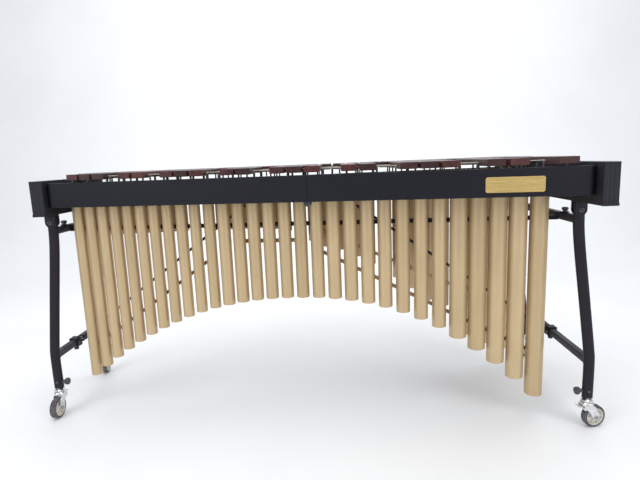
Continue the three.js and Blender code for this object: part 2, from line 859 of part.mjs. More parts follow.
function addSound() {
  Object.entries(rows).forEach(([rowName, row]) => {
    add(`${rowName}_bars_on_cord`, barSet(row), rosewood);
    add(`${rowName}_resonators`, resonatorBank(row), champagne);
    SIDES.forEach((side) => {
      add(`resonator_knob_${rowName}_${side}`, hangerKnob(side, row), blackPlastic);
    });
  });
}

function addLegs() {
  SIDES.forEach((side) => {
    add(`leg_frame_${side}`, legFrame(side), charcoal);
    add(`stay_rod_${side}`, stay(side), chrome);
    add(`stay_clamp_${side}`, stayClamp(side), charcoal);
    FACES.forEach((face) => add(`leg_yoke_${side}_${face}`, legYoke(side, face), charcoal));
  });
}

function addCasters() {
  const pieces = {
    caster_stem: [casterStem, chrome],
    caster_fork: [casterFork, chrome],
    caster_hub: [wheelHub, palePlastic],
    caster_tyre: [wheelTyre, rubber],
    caster_brake: [brakeLever, chrome],
  };
  SIDES.forEach((side) => {
    FACES.forEach((face) => {
      Object.entries(pieces).forEach(([name, [make, material]]) => {
        add(`${name}_${side}_${face}`, placeCaster(join([make()]), side, face), material);
      });
      add(`leg_knob_${side}_${face}`, join([legKnob(side, face)]), blackPlastic);
    });
  });
}

// Puts the origin on the floor under the middle of the overall size.
function centre() {
  const middle = new THREE.Box3().setFromObject(instrument).getCenter(new THREE.Vector3());
  instrument.position.set(-middle.x, -middle.y, 0);
}

addFrame();
addSound();
addLegs();
addCasters();
centre();

export default instrument;
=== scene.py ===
"""Looks for the concert bar instrument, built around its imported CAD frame."""

import math

import bmesh
import bpy
from mathutils import Matrix, Vector


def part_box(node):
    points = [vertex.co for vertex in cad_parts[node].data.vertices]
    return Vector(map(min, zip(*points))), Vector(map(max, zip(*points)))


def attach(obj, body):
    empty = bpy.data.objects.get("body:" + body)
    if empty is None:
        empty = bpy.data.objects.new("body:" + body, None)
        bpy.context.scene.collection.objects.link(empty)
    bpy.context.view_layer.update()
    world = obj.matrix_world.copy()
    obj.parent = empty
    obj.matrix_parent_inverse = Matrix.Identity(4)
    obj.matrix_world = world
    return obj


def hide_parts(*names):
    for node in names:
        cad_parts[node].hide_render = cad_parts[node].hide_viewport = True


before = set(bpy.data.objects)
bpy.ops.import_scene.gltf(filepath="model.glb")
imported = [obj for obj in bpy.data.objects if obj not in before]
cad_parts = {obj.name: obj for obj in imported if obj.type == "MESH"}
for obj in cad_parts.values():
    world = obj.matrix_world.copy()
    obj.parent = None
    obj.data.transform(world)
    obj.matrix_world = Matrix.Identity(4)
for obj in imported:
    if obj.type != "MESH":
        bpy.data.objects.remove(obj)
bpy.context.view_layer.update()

# ---- Driving dimensions, in metres, about the middle of the keyboard ----

BAR_TOP = 0.885
BAR_THICK = 0.020
BAR_SPACING = 0.009
CORD_Z = BAR_TOP - BAR_THICK / 2
CORD_RADIUS = 0.0016
NODE_SHARE = 0.224
LOWEST_NOTE, HIGHEST_NOTE = 45, 96
SLOT_LOW, SLOT_HIGH = 0.065, 0.045
SOUND_SPEED = 343.0
ROW_GAP = 0.007
BAR_MARGIN = 0.012

BOARD_BOTTOM, BOARD_THICK = 0.776, 0.016
BOARD_CURL = 0.024
SEAM_X = 0.040
END_OUTER, END_INNER = 0.893, 0.850
END_TOP, END_BOTTOM = 0.867, 0.748
RAIL_TOP, RAIL_BOTTOM, RAIL_WIDTH = 0.842, 0.814, 0.014

TUBE_TOP, TUBE_WALL, SMALL_TUBE = 0.842, 0.0015, 0.0195
FLAT = math.cos(math.pi / 6)  # the CAD tubes have six flat sides
HANGER_HEIGHT, HANGER_DEPTH = 0.014, 0.012
RISER_INNER, RISER_OUTER = 0.839, 0.849
LUG_BOTTOM, LUG_TOP = 0.7023, 0.7053
TIE_HEIGHT, TIE_DEPTH = 0.014, 0.003
ARCH_X, ARCH_Z, ARCH_POWER = 0.004, 0.433, 2.25
ARCH_FALL = {"low": (0.400, 0.826), "high": (0.258, 0.754)}

LEG_PATH = [
    (0.869, 0.742), (0.873, 0.640), (0.899, 0.440), (0.920, 0.280), (0.925, 0.225), (0.925, 0.104),
]
LEG_Y = {
    "high": {"audience": -0.142, "player": 0.190},
    "low": {"audience": -0.285, "player": 0.285},
}
FOOT_X, LEG_LONG, LEG_SHORT = 0.925, 0.034, 0.022
UPPER_BAR, LOWER_BAR, CROSS_SIZE = (0.871, 0.690), (0.925, 0.228), 0.024
PIVOT_X, PIVOT_Z = 0.8695, 0.722
STAY_TOP = {"high": (-0.153, 0.790), "low": (0.114, 0.790)}
STAY_FOOT = (0.893, 0.247)
LUG_Y, LUG_HALF = 0.0095, 0.0025
BOLT_RADIUS, NUT_RADIUS = 0.0038, 0.0068
CLAMP_WALL, CLAMP_LONG = 0.004, 0.030
BITE = 0.0007  # how far the tubes sink into the strips behind them

WHEEL_RADIUS, WHEEL_WIDTH, CASTER_TRAIL = 0.0375, 0.022, 0.025
CASTER_HEADING = {
    "high": {"audience": -90, "player": 100},
    "low": {"audience": 11, "player": 35},
}
HEAD_BOTTOM, HEAD_TOP = 0.0783, 0.0917
FORK_HALF = WHEEL_WIDTH / 2 + 0.0025
BRAKE_PIVOT = (-0.013, 0.072)
CLAMP_Z = 0.128

SIDES = {"high": -1, "low": 1}
FACES = ("audience", "player")
GAP = 0.0003


def middle(node):
    low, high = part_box(node)
    return (low + high) / 2


def keyboard_middle():
    """Where the middle of the keyboard stands in the CAD frame."""
    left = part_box("end_board_high")[0].x
    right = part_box("end_board_low")[1].x
    return Vector(((left + right) / 2, middle("centre_plate").y, 0))


HOME = Matrix.Translation(keyboard_middle())


# ---- Materials ----


class Paint:
    """A node material under construction. Each method adds nodes and returns an output socket."""

    def __init__(self, name, base, rough, metal=0.0):
        self.material = bpy.data.materials.new(name)
        self.material.use_nodes = True
        self.tree = self.material.node_tree
        self.shader = self.tree.nodes["Principled BSDF"]
        self.set("Base Color", (*base, 1.0))
        self.set("Roughness", rough)
        self.set("Metallic", metal)
        self.where = self.add("TexCoord").outputs["Object"]

    def add(self, kind):
        return self.tree.nodes.new(f"ShaderNode{kind}")

    def set(self, socket, value):
        self.shader.inputs[socket].default_value = value

    def link(self, output, target):
        self.tree.links.new(output, target)

    def stretched(self, scale, shuffle=False):
        """Object coordinates scaled by axis, and moved by a different amount on each object."""
        node = self.add("Mapping")
        node.inputs["Scale"].default_value = scale
        self.link(self.where, node.inputs["Vector"])
        if shuffle:
            own = self.add("ObjectInfo")
            spread = self.add("VectorMath")
            spread.operation = "SCALE"
            spread.inputs[0].default_value = (37.0, 91.0, 53.0)
            self.link(own.outputs["Random"], spread.inputs["Scale"])
            self.link(spread.outputs[0], node.inputs["Location"])
        return node.outputs["Vector"]

    def noise(self, scale, where=None, detail=4.0, distortion=0.0):
        node = self.add("TexNoise")
        node.inputs["Scale"].default_value = scale
        node.inputs["Detail"].default_value = detail
        node.inputs["Distortion"].default_value = distortion
        self.link(where or self.where, node.inputs["Vector"])
        return node.outputs["Fac"]

    def ramp(self, source, stops):
        node = self.add("ValToRGB")
        ramp = node.color_ramp
        while len(ramp.elements) < len(stops):
            ramp.elements.new(0.5)
        for element, (place, color) in zip(ramp.elements, stops):
            element.position = place
            element.color = (*color, 1.0)
        self.link(source, node.inputs["Fac"])
        return node.outputs["Color"]

    def spread(self, source, low, high):
        """Maps a texture's 0.3 to 0.7 onto low to high."""
        node = self.add("MapRange")
        node.inputs["From Min"].default_value = 0.3
        node.inputs["From Max"].default_value = 0.7
        node.inputs["To Min"].default_value = low
        node.inputs["To Max"].default_value = high
        self.link(source, node.inputs["Value"])
        return node.outputs["Result"]

    def mix(self, share, first, second, blend="MIX"):
        node = self.add("Mix")
        node.data_type = "RGBA"
        node.blend_type = blend
        if isinstance(share, float):
            node.inputs["Factor"].default_value = share
        else:
            self.link(share, node.inputs["Factor"])
        for socket, value in ((node.inputs[6], first), (node.inputs[7], second)):
            if isinstance(value, tuple):
                socket.default_value = (*value, 1.0)
            else:
                self.link(value, socket)
        return node.outputs[2]

    def own_share(self):
        return self.add("ObjectInfo").outputs["Random"]

    def painted_edge_highlight(self):
        """Rises on outer corners: the mask of a painted highlight, lighter where a corner catches
        the light.
        """
        geometry = self.add("NewGeometry")
        return self.ramp(geometry.outputs["Pointiness"], [(0.50, (0, 0, 0)), (0.62, (1, 1, 1))])

    def patches_and_edge_highlight(self, tone, dark, light, edge):
        """Two tones in patches, and a third as a painted highlight on outer corners."""
        # edge is the colour of the painted highlight on the corners
        self.color(self.mix(self.painted_edge_highlight(), self.ramp(tone, [dark, light]), edge))

    def color(self, output):
        self.link(output, self.shader.inputs["Base Color"])
        return self

    def rough(self, output):
        self.link(output, self.shader.inputs["Roughness"])
        return self

    def bump(self, output, height, strength=1.0):
        node = self.add("Bump")
        node.inputs["Strength"].default_value = strength
        node.inputs["Distance"].default_value = height
        self.link(output, node.inputs["Height"])
        self.link(node.outputs["Normal"], self.shader.inputs["Normal"])
        return self


def rosewood():
    """Oiled rosewood: long dark streaks, a different board for each bar."""
    paint = Paint("rosewood", (0.10, 0.03, 0.025), 0.36)
    along = paint.stretched((1.0, 0.06, 1.0), shuffle=True)
    streaks = paint.noise(95.0, along, 6.0, 0.4)
    broad = paint.noise(22.0, along, 3.0, 0.8)
    fine = paint.noise(620.0, along, 2.0)
    red = paint.ramp(streaks, [
        (0.30, (0.016, 0.005, 0.006)), (0.52, (0.056, 0.013, 0.013)), (0.75, (0.100, 0.026, 0.022)),
    ])
    brown = paint.ramp(broad, [(0.30, (0.020, 0.007, 0.008)), (0.70, (0.075, 0.024, 0.021))])
    wood = paint.mix(0.45, red, brown)
    tone = paint.ramp(paint.own_share(), [
        (0.0, (0.55, 0.52, 0.56)), (0.5, (0.95, 0.90, 0.92)), (1.0, (1.45, 1.15, 1.10)),
    ])
    paint.color(paint.mix(1.0, wood, tone, "MULTIPLY"))
    paint.rough(paint.spread(streaks, 0.30, 0.46))
    paint.set("Specular IOR Level", 0.35)
    paint.set("Coat Weight", 0.12)
    paint.set("Coat Roughness", 0.25)
    return paint.bump(fine, 0.00012, 0.5).material


def black_board():
    """Blue-black stained board with a fine open grain along its length."""
    paint = Paint("black_board", (0.028, 0.030, 0.042), 0.42)
    along = paint.stretched((0.05, 1.0, 1.0))
    grain = paint.noise(260.0, along, 5.0)
    clouds = paint.noise(9.0, None, 3.0)
    dark, light = (0.30, (0.0030, 0.0032, 0.0060)), (0.70, (0.0065, 0.0068, 0.0120))
    # the third colour is a painted highlight on the outer corners
    paint.patches_and_edge_highlight(grain, dark, light, (0.022, 0.022, 0.030))
    paint.set("Specular IOR Level", 0.17)
    paint.rough(paint.spread(clouds, 0.34, 0.50))
    return paint.bump(grain, 0.00008, 0.6).material


def black_moulding():
    """Satin charcoal end blocks, with scuffs."""
    paint = Paint("black_moulding", (0.032, 0.034, 0.045), 0.45)
    scuffs = paint.noise(30.0, paint.stretched((1.0, 1.0, 0.25)), 6.0, 1.2)
    pores = paint.noise(900.0, None, 2.0)
    dark, light = (0.35, (0.0040, 0.0040, 0.0070)), (0.75, (0.0085, 0.0088, 0.0140))
    # the third colour is a painted highlight on the outer corners
    paint.patches_and_edge_highlight(scuffs, dark, light, (0.036, 0.036, 0.046))
    paint.set("Specular IOR Level", 0.17)
    paint.rough(paint.spread(scuffs, 0.38, 0.58))
    return paint.bump(pores, 0.00006, 0.5).material


def powder_coat():
    """Fine orange-peel black paint on the steel of the legs."""
    paint = Paint("powder_coat", (0.030, 0.030, 0.040), 0.40)
    peel = paint.noise(420.0, None, 2.0)
    dust = paint.noise(14.0, None, 5.0, 0.5)
    dark, light = (0.35, (0.0060, 0.0045, 0.0090)), (0.75, (0.0120, 0.0100, 0.0170))
    # the third colour is a painted highlight on the outer corners
    paint.patches_and_edge_highlight(dust, dark, light, (0.034, 0.031, 0.041))
    paint.set("Specular IOR Level", 0.22)
    paint.rough(paint.spread(dust, 0.33, 0.50))
    return paint.bump(peel, 0.00010, 0.45).material


def champagne():
    """Satin champagne lacquer on drawn tube: faint lengthwise lines and a cloudy sheen."""
    paint = Paint("champagne_lacquer", (0.56, 0.43, 0.26), 0.40, 0.50)
    paint.set("Specular IOR Level", 0.25)
    drawn = paint.noise(900.0, paint.stretched((1.0, 1.0, 0.012), shuffle=True), 2.0)
    clouds = paint.noise(11.0, paint.stretched((1.0, 1.0, 0.35), shuffle=True), 4.0, 0.6)
    specks = paint.noise(1500.0, None, 1.0)
    base = paint.ramp(clouds, [(0.30, (0.520, 0.395, 0.235)), (0.70, (0.590, 0.455, 0.275))])
    tone = paint.ramp(paint.own_share(), [(0.0, (0.93, 0.91, 0.88)), (1.0, (1.04, 1.03, 1.03))])
    paint.color(paint.mix(1.0, base, tone, "MULTIPLY"))
    paint.rough(paint.spread(drawn, 0.38, 0.44))
    return paint.bump(paint.mix(0.5, drawn, specks), 0.00002, 0.15).material


def bronze_strip():
    """The same lacquer on flat strip, gone browner, with a painted highlight on its corners."""
    paint = Paint("bronze_strip", (0.30, 0.19, 0.11), 0.42, 0.7)
    clouds = paint.noise(40.0, None, 5.0, 0.6)
    dark, light = (0.30, (0.22, 0.135, 0.075)), (0.70, (0.40, 0.26, 0.15))
    # the third colour is a painted highlight on the outer corners
    paint.patches_and_edge_highlight(clouds, dark, light, (0.62, 0.45, 0.28))
    paint.rough(paint.spread(clouds, 0.35, 0.55))
    return paint.bump(clouds, 0.00005, 0.5).material


def chrome():
    """Bright plating with a smoky haze and tiny pits."""
    paint = Paint("chrome_plate", (0.78, 0.79, 0.80), 0.14, 1.0)
    haze = paint.noise(55.0, None, 5.0, 0.8)
    pits = paint.noise(1800.0, None, 1.0)
    paint.color(paint.ramp(haze, [(0.30, (0.55, 0.55, 0.56)), (0.65, (0.82, 0.82, 0.83))]))
    paint.rough(paint.spread(haze, 0.08, 0.30))
    return paint.bump(pits, 0.00002, 0.3).material


def zinc():
    """Dull bright zinc on rivets, screws and axles, with fine drawn lines."""
    paint = Paint("zinc_rod", (0.34, 0.34, 0.36), 0.32, 1.0)
    drawn = paint.noise(700.0, paint.stretched((0.03, 1.0, 0.03)), 3.0)
    paint.color(paint.ramp(drawn, [(0.30, (0.22, 0.22, 0.23)), (0.70, (0.46, 0.46, 0.48))]))
    paint.rough(paint.spread(drawn, 0.24, 0.42))
    return paint.bump(drawn, 0.00002, 0.5).material


def rubber():
    """Grey-black tyre rubber with floor dust on its tread."""
    paint = Paint("tyre_rubber", (0.065, 0.060, 0.070), 0.75)
    dust = paint.noise(70.0, None, 6.0, 0.5)
    grain = paint.noise(1200.0, None, 2.0)
    paint.color(paint.ramp(dust, [(0.35, (0.050, 0.046, 0.055)), (0.75, (0.150, 0.140, 0.145))]))
    paint.rough(paint.spread(dust, 0.62, 0.88))
    return paint.bump(grain, 0.00008, 0.6).material


def pale_plastic():
    """Translucent off-white wheel centre, yellowed in its corners."""
    paint = Paint("wheel_centre", (0.62, 0.60, 0.54), 0.34)
    stain = paint.noise(90.0, None, 5.0, 0.4)
    paint.color(paint.ramp(stain, [(0.30, (0.42, 0.39, 0.33)), (0.65, (0.70, 0.68, 0.62))]))
    paint.rough(paint.spread(stain, 0.26, 0.48))
    paint.set("Subsurface Weight", 0.2)
    paint.set("Subsurface Scale", 0.004)
    return paint.bump(stain, 0.00008, 0.4).material


def black_plastic():
    """Moulded knobs and sleeves."""
    paint = Paint("black_plastic", (0.020, 0.020, 0.023), 0.38)
    grain = paint.noise(800.0, None, 3.0)
    wear = paint.noise(60.0, None, 4.0)
    dark, light = (0.35, (0.014, 0.014, 0.017)), (0.75, (0.034, 0.034, 0.038))
    # the third colour is a painted highlight on the outer corners
    paint.patches_and_edge_highlight(wear, dark, light, (0.09, 0.09, 0.095))
    paint.rough(paint.spread(wear, 0.30, 0.52))
    return paint.bump(grain, 0.00006, 0.5).material


def gold_plate():
    """The blank gilt plate on the front board, brushed along its length."""
    paint = Paint("gold_plate", (0.80, 0.56, 0.20), 0.26, 1.0)
    brushed = paint.noise(900.0, paint.stretched((0.02, 1.0, 1.0)), 2.0)
    paint.color(paint.ramp(brushed, [(0.30, (0.76, 0.54, 0.20)), (0.70, (0.86, 0.64, 0.27))]))
    paint.rough(paint.spread(brushed, 0.20, 0.38))
    return paint.bump(brushed, 0.00002, 0.5).material


def cord_braid():
    """Braided off-white cord, with painted shade in the grooves between its strands."""
    paint = Paint("cord_braid", (0.55, 0.53, 0.48), 0.8)
    node = paint.add("TexWave")
    node.bands_direction = "DIAGONAL"
    node.inputs["Scale"].default_value = 330.0
    node.inputs["Distortion"].default_value = 1.0
    paint.link(paint.where, node.inputs["Vector"])
    weave_with_groove_shade = node.outputs["Fac"]
    # darker where the braid's bump is low: painted shade in its grooves
    paint.color(paint.ramp(weave_with_groove_shade, [(0.2, (0.25, 0.24, 0.21)), (0.8, (0.62, 0.60, 0.54))]))
    return paint.bump(weave_with_groove_shade, 0.0003, 0.8).material


def pale_floor():
    paint = Paint("pale_floor", (0.80, 0.81, 0.83), 0.55)
    clouds = paint.noise(1.5, None, 4.0)
    paint.color(paint.ramp(clouds, [(0.3, (0.86, 0.87, 0.89)), (0.7, (0.90, 0.91, 0.92))]))
    paint.rough(paint.spread(clouds, 0.5, 0.65))
    return paint.material


LOOKS = {
    paint.__name__: paint()
    for paint in (
        rosewood, black_board, black_moulding, powder_coat, champagne, bronze_strip, chrome,
        zinc, rubber, pale_plastic, black_plastic, gold_plate, cord_braid,
    )
}
# The material slot of the record that each look fills.
SLOTS = {look: look for look in LOOKS}
SLOTS.update({
    "black_moulding": "black_board",
    "powder_coat": "black_paint",
    "champagne": "gold_tube",
    "bronze_strip": "gold_tube",
    "zinc": "chrome",
    "rubber": "tyre",
    "cord_braid": "rosewood",
})


# ---- Mesh building ----


def add_face(mesh, corners):
    try:
        mesh.faces.new(corners)
    except ValueError:
        pass  # the two ends of a lathe meet on the axis


def skin(mesh, rings):
    """Joins a run of vertex rings with faces, and caps its two ends."""
    add_face(mesh, rings[0][::-1])
    add_face(mesh, rings[-1])
    for lower, upper in zip(rings, rings[1:]):
        for i in range(len(lower)):
            j = (i + 1) % len(lower)
            add_face(mesh, [lower[i], lower[j], upper[j], upper[i]])


def prism(mesh, points, axis, low, high):
    """An outline given in the other two axes, in their order, extruded along an axis."""
    place = {
        "X": lambda a, b, c: (c, a, b),
        "Y": lambda a, b, c: (a, c, b),
        "Z": lambda a, b, c: (a, b, c),
    }[axis]
    skin(mesh, [[mesh.verts.new(place(a, b, c)) for a, b in points] for c in (low, high)])


def block(mesh, size, at):
    (sx, sy, sz), (x, y, z) = size, at
    corners = ((-1, -1), (1, -1), (1, 1), (-1, 1))
    outline = [(x + a * sx / 2, y + b * sy / 2) for a, b in corners]
    prism(mesh, outline, "Z", z - sz / 2, z + sz / 2)


def lathe(mesh, profile, turn=Matrix.Identity(4), steps=40, closed=False):
    """Spins (radius, height) points about Z, then moves the result by a matrix."""
    rings = []
    for radius, height in profile:
        if radius < 1e-7:
            rings.append([mesh.verts.new(turn @ Vector((0, 0, height)))] * steps)
        else:
            ring = [2 * math.pi * i / steps for i in range(steps)]
            rings.append([
                mesh.verts.new(turn @ Vector((radius * math.cos(a), radius * math.sin(a), height)))
                for a in ring
            ])
    pairs = list(zip(rings, rings[1:]))
    if closed:
        pairs.append((rings[-1], rings[0]))
    for lower, upper in pairs:
        for i in range(steps):
            j = (i + 1) % steps
            corners = [lower[i], lower[j], upper[j], upper[i]]
            unique = [v for k, v in enumerate(corners) if v not in corners[:k]]
            if len(unique) > 2:
                add_face(mesh, unique)


def pin(mesh, start, end, radius, steps=20, edge=0.0006):
    """A round bar with eased ends between two points."""
    start, end = Vector(start), Vector(end)
    axis = end - start
    length = axis.length
    turn = Matrix.Translation(start) @ axis.to_track_quat("Z", "Y").to_matrix().to_4x4()
    edge = min(edge, radius / 2, length / 3)
    profile = [
        (0, 0), (radius - edge, 0), (radius, edge),
        (radius, length - edge), (radius - edge, length), (0, length),
    ]
    lathe(mesh, profile, turn, steps)


def bolt_across(mesh, x, z, reach, head, thick, edge=0.0006, steps=20):
    """A bolt along Y with a hexagonal nut near each end."""
    pin(mesh, (x, -reach, z), (x, reach, z), BOLT_RADIUS, steps)
    for side in (-1, 1):
        pin(mesh, (x, side * head, z), (x, side * (head + thick), z), NUT_RADIUS, 6, edge)


def sweep(mesh, path, section):
    """A closed section, as (side, up) pairs, carried along a path in a plane of constant Y."""
    rings = []
    for i, point in enumerate(path):
        before = path[max(i - 1, 0)]
        after = path[min(i + 1, len(path) - 1)]
        tangent = (after - before).normalized()
        side = tangent.cross(Vector((0, 1, 0))).normalized()
        rings.append([mesh.verts.new(point + side * a + Vector((0, b, 0))) for a, b in section])
    skin(mesh, rings)


def arc(center, radius, start, end, steps):
    """Points on an arc, with angles in degrees."""
    angles = [math.radians(start + (end - start) * i / steps) for i in range(steps + 1)]
    return [(center[0] + radius * math.cos(a), center[1] + radius * math.sin(a)) for a in angles]


def rounded(width, height, radius, steps=5):
    """A rounded rectangle about the origin."""
    points = []
    for cx, cy, start in ((1, 1, 0), (-1, 1, 90), (-1, -1, 180), (1, -1, 270)):
        center = (cx * (width / 2 - radius), cy * (height / 2 - radius))
        points.extend(arc(center, radius, start, start + 90, steps))
    return points


def place_object(name, data):
    item = bpy.data.objects.new(name, data)
    bpy.context.scene.collection.objects.link(item)
    return item


def make(name, mesh, look, body, bevel=0.0, place=HOME, stands_for=(), sharp=35):
    """Turns a bmesh into a finished piece that rides on a body."""
    bmesh.ops.remove_doubles(mesh, verts=mesh.verts, dist=1e-7)
    bmesh.ops.recalc_face_normals(mesh, faces=mesh.faces)
    data = bpy.data.meshes.new(name)
    mesh.to_mesh(data)
    mesh.free()
    data.shade_smooth()
    data.set_sharp_from_angle(angle=math.radians(sharp))
    data.materials.append(LOOKS[look])
    piece = place_object(name, data)
    piece.matrix_world = place
    if bevel:
        modifier = piece.modifiers.new("eased_edges", "BEVEL")
        modifier.width = bevel
        modifier.segments = 3
        modifier.limit_method = "ANGLE"
        modifier.angle_limit = math.radians(sharp)
        modifier.harden_normals = True
    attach(piece, body)
    if stands_for:
        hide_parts(*stands_for)
    return piece


# ---- Notes and rows ----


def is_natural(note):
    return note % 12 in (0, 2, 4, 5, 7, 9, 11)


def quarter_wave(note):
    return SOUND_SPEED / (440 * 2 ** ((note - 69) / 12)) / 4


def lay_out_notes():
    """Places as (x, slot, note): the naturals, and the joints between them."""
    notes = [n for n in range(LOWEST_NOTE, HIGHEST_NOTE + 1) if is_natural(n)]
    ratio = SLOT_HIGH / SLOT_LOW
    slots = [SLOT_LOW * ratio ** (i / (len(notes) - 1)) for i in range(len(notes))]
    edge = sum(slots) / 2
    naturals, between = [], []
    for i, note in enumerate(notes):
        if i:
            sharp = None if is_natural(note - 1) else note - 1
            between.append((edge, (slots[i - 1] + slots[i]) / 2, sharp))
        naturals.append((edge - slots[i] / 2, slots[i], note))
        edge -= slots[i]
    return naturals, between


NATURALS, BETWEEN = lay_out_notes()


# Ends of the strips that tie the tubes together, each as X and Z.
TIES = {
    "accidental": [
        ((-0.798, 0.230), (-0.310, 0.573)),
        ((-0.240, 0.623), (-0.010, 0.623)),
        ((0.035, 0.600), (0.785, 0.216)),
    ],
    "natural": [((0.060, 0.610), (0.812, 0.262))],
}


class Row:
    """One row of bars with its tubes: sign is the row's side of the middle line."""

    def __init__(self, name, sign, middle_length, slope, board_top, hanger_bottom):
        self.name = name
        self.sign = sign
        self.board_top = board_top
        self.hanger_bottom = hanger_bottom
        self.middle_length = middle_length
        self.slope = slope
        self.tubes = NATURALS if sign > 0 else BETWEEN
        self.bars = [place for place in self.tubes if place[2]]
        self.ties = TIES[name]
        self.angle = math.atan(sign * slope / 2)

    def length(self, x):
        return self.middle_length + self.slope * x

    def y(self, x, share):
        return self.sign * (ROW_GAP + share * self.length(x))

    def frame_y(self, x):
        return self.sign * (ROW_GAP + self.length(x) + BAR_MARGIN)

    def back_y(self, x):
        """The line that the inner sides of all the tubes touch."""
        return self.y(x, 0.5) - self.sign * SMALL_TUBE * FLAT

    def tube_y(self, x):
        return self.back_y(x) + self.sign * tube_radius(x) * FLAT / math.cos(self.angle)

    def hanger_y(self, x):
        return self.back_y(x) - self.sign * (HANGER_DEPTH / 2 - BITE)


ROWS = [
    Row("accidental", -1, middle_length=0.291, slope=0.140, board_top=0.858, hanger_bottom=0.680),
    Row("natural", 1, middle_length=0.303, slope=0.146, board_top=0.838, hanger_bottom=0.746),
]


def tube_radius(x):
    for start, radius in ((0.510, 0.0285), (0.080, 0.0235), (-0.290, 0.022)):
        if x > start:
            return radius
    return SMALL_TUBE


def tube_end(row, x, note):
    if row.sign > 0:
        return min(max(TUBE_TOP - quarter_wave(note) - 0.045, 0.076), 0.640)
    away = x - ARCH_X
    drop, span = ARCH_FALL["low" if away > 0 else "high"]
    return ARCH_Z - drop * (abs(away) / span) ** ARCH_POWER


# ---- Bars and cords ----


def bar_outline(length, depth):
    """Side view: flat under the cords, with a smooth arch hollowed out of the middle."""
    bottom = BAR_TOP - BAR_THICK
    steps = 18
    points = [(0.0, bottom)]
    for i in range(steps + 1):
        share = i / steps
        along = 0.28 + 0.44 * share
        points.append((along * length, bottom + depth * math.sin(math.pi * share) ** 0.8))
    points += [(length, bottom), (length, BAR_TOP), (0.0, BAR_TOP)]
    return points


def make_bar(row, index, x, slot):
    length = row.length(x)
    pitch_share = (slot - SLOT_HIGH) / (SLOT_LOW - SLOT_HIGH)
    depth = BAR_THICK * (0.35 + 0.25 * pitch_share)
    start = row.y(x, 0 if row.sign > 0 else 1)
    half = (slot - BAR_SPACING) / 2
    mesh = bmesh.new()
    outline = [(start + y, z) for y, z in bar_outline(length, depth)]
    prism(mesh, outline, "X", x - half, x + half)
    return make(f"{row.name}_bar_{index:02d}", mesh, "rosewood", "frame", 0.0013)


def cord_path(row, share):
    first, last = row.bars[0], row.bars[-1]
    ends = (first[0] + first[1] / 2, last[0] - last[1] / 2)
    return [Vector((x, row.y(x, share), CORD_Z)) for x in ends]


def make_bars(row):
    for index, (x, slot, _) in enumerate(row.bars, 1):
        piece = make_bar(row, index, x, slot)
        if index == 1:
            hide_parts(f"{row.name}_bars_on_cord")
    for name, share in (("inner", NODE_SHARE), ("outer", 1 - NODE_SHARE)):
        mesh = bmesh.new()
        start, end = cord_path(row, share)
        pin(mesh, start, end, CORD_RADIUS, 12)
        make(f"{row.name}_cord_{name}", mesh, "cord_braid", "frame")


# ---- Rails and posts ----


def slanted(mesh, line_y, start, end, width, bottom, top):
    half = width / 2
    outline = [
        (start, line_y(start) - half), (end, line_y(end) - half),
        (end, line_y(end) + half), (start, line_y(start) + half),
    ]
    prism(mesh, outline, "Z", bottom, top)


def post_places(row):
    found = []
    for x, slot, _ in row.bars:
        for edge in (x - slot / 2, x + slot / 2):
            if all(abs(edge - other) >= BAR_SPACING / 2 for other in found):
                found.append(edge)
    return found


def make_rail(row, name, share):
    def line_y(x):
        return row.y(x, share)

    mesh = bmesh.new()
    limit = END_INNER - GAP
    slanted(mesh, line_y, -limit, limit, RAIL_WIDTH, RAIL_BOTTOM, RAIL_TOP)
    rail = make(f"{row.name}_{name}_rail_wood", mesh, "black_board", "frame", 0.0015)
    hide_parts(f"{row.name}_{name}_rail")
    posts = bmesh.new()
    hooks = bmesh.new()
    top = CORD_Z - CORD_RADIUS
    for x in post_places(row):
        y = line_y(x)
        sleeve = [(0, RAIL_TOP), (0.0030, RAIL_TOP), (0.0027, top - 0.002), (0.0018, top), (0, top)]
        lathe(posts, sleeve, Matrix.Translation((x, y, 0)), 16)
        for side in (-1, 1):
            prong_y = y + side * 0.0024
            pin(hooks, (x, prong_y, top - 0.004), (x, prong_y, CORD_Z + 0.002), 0.0008, 8)
    make(f"{row.name}_{name}_post_sleeves", posts, "black_plastic", "frame")
    make(f"{row.name}_{name}_post_prongs", hooks, "chrome", "frame")


# ---- Boards and end blocks ----


def board_outline(row, side):
    """Half a long board in plan: straight, then curling in to meet the end block."""
    s = SIDES[side]
    tip = s * (END_INNER - GAP)
    bend = tip - s * BOARD_CURL
    seam = SEAM_X + s * GAP
    inward = -row.sign
    base = row.frame_y(bend)
    outer, inner = [], []
    steps = 10
    for i in range(steps + 1):
        angle = i / steps * math.pi / 2
        small = BOARD_CURL - BOARD_THICK
        outer.append((
            bend + s * BOARD_CURL * math.sin(angle),
            base + inward * BOARD_CURL * (1 - math.cos(angle)),
        ))
        inner.append((
            bend + s * small * math.sin(angle),
            base + inward * (BOARD_CURL - small * math.cos(angle)),
        ))
    start = row.frame_y(seam)
    return [(seam, start), *outer, *inner[::-1], (seam, start + inward * BOARD_THICK)]


def board_name(row):
    return "audience" if row.sign < 0 else "player"


def make_boards(row):
    face = board_name(row)
    for side in SIDES:
        mesh = bmesh.new()
        prism(mesh, board_outline(row, side), "Z", BOARD_BOTTOM, row.board_top)
        node = f"{face}_board_{side}"
        make(f"{node}_wood", mesh, "black_board", "frame", 0.0025, stands_for=[node], sharp=40)
    make_board_joint(row, face)


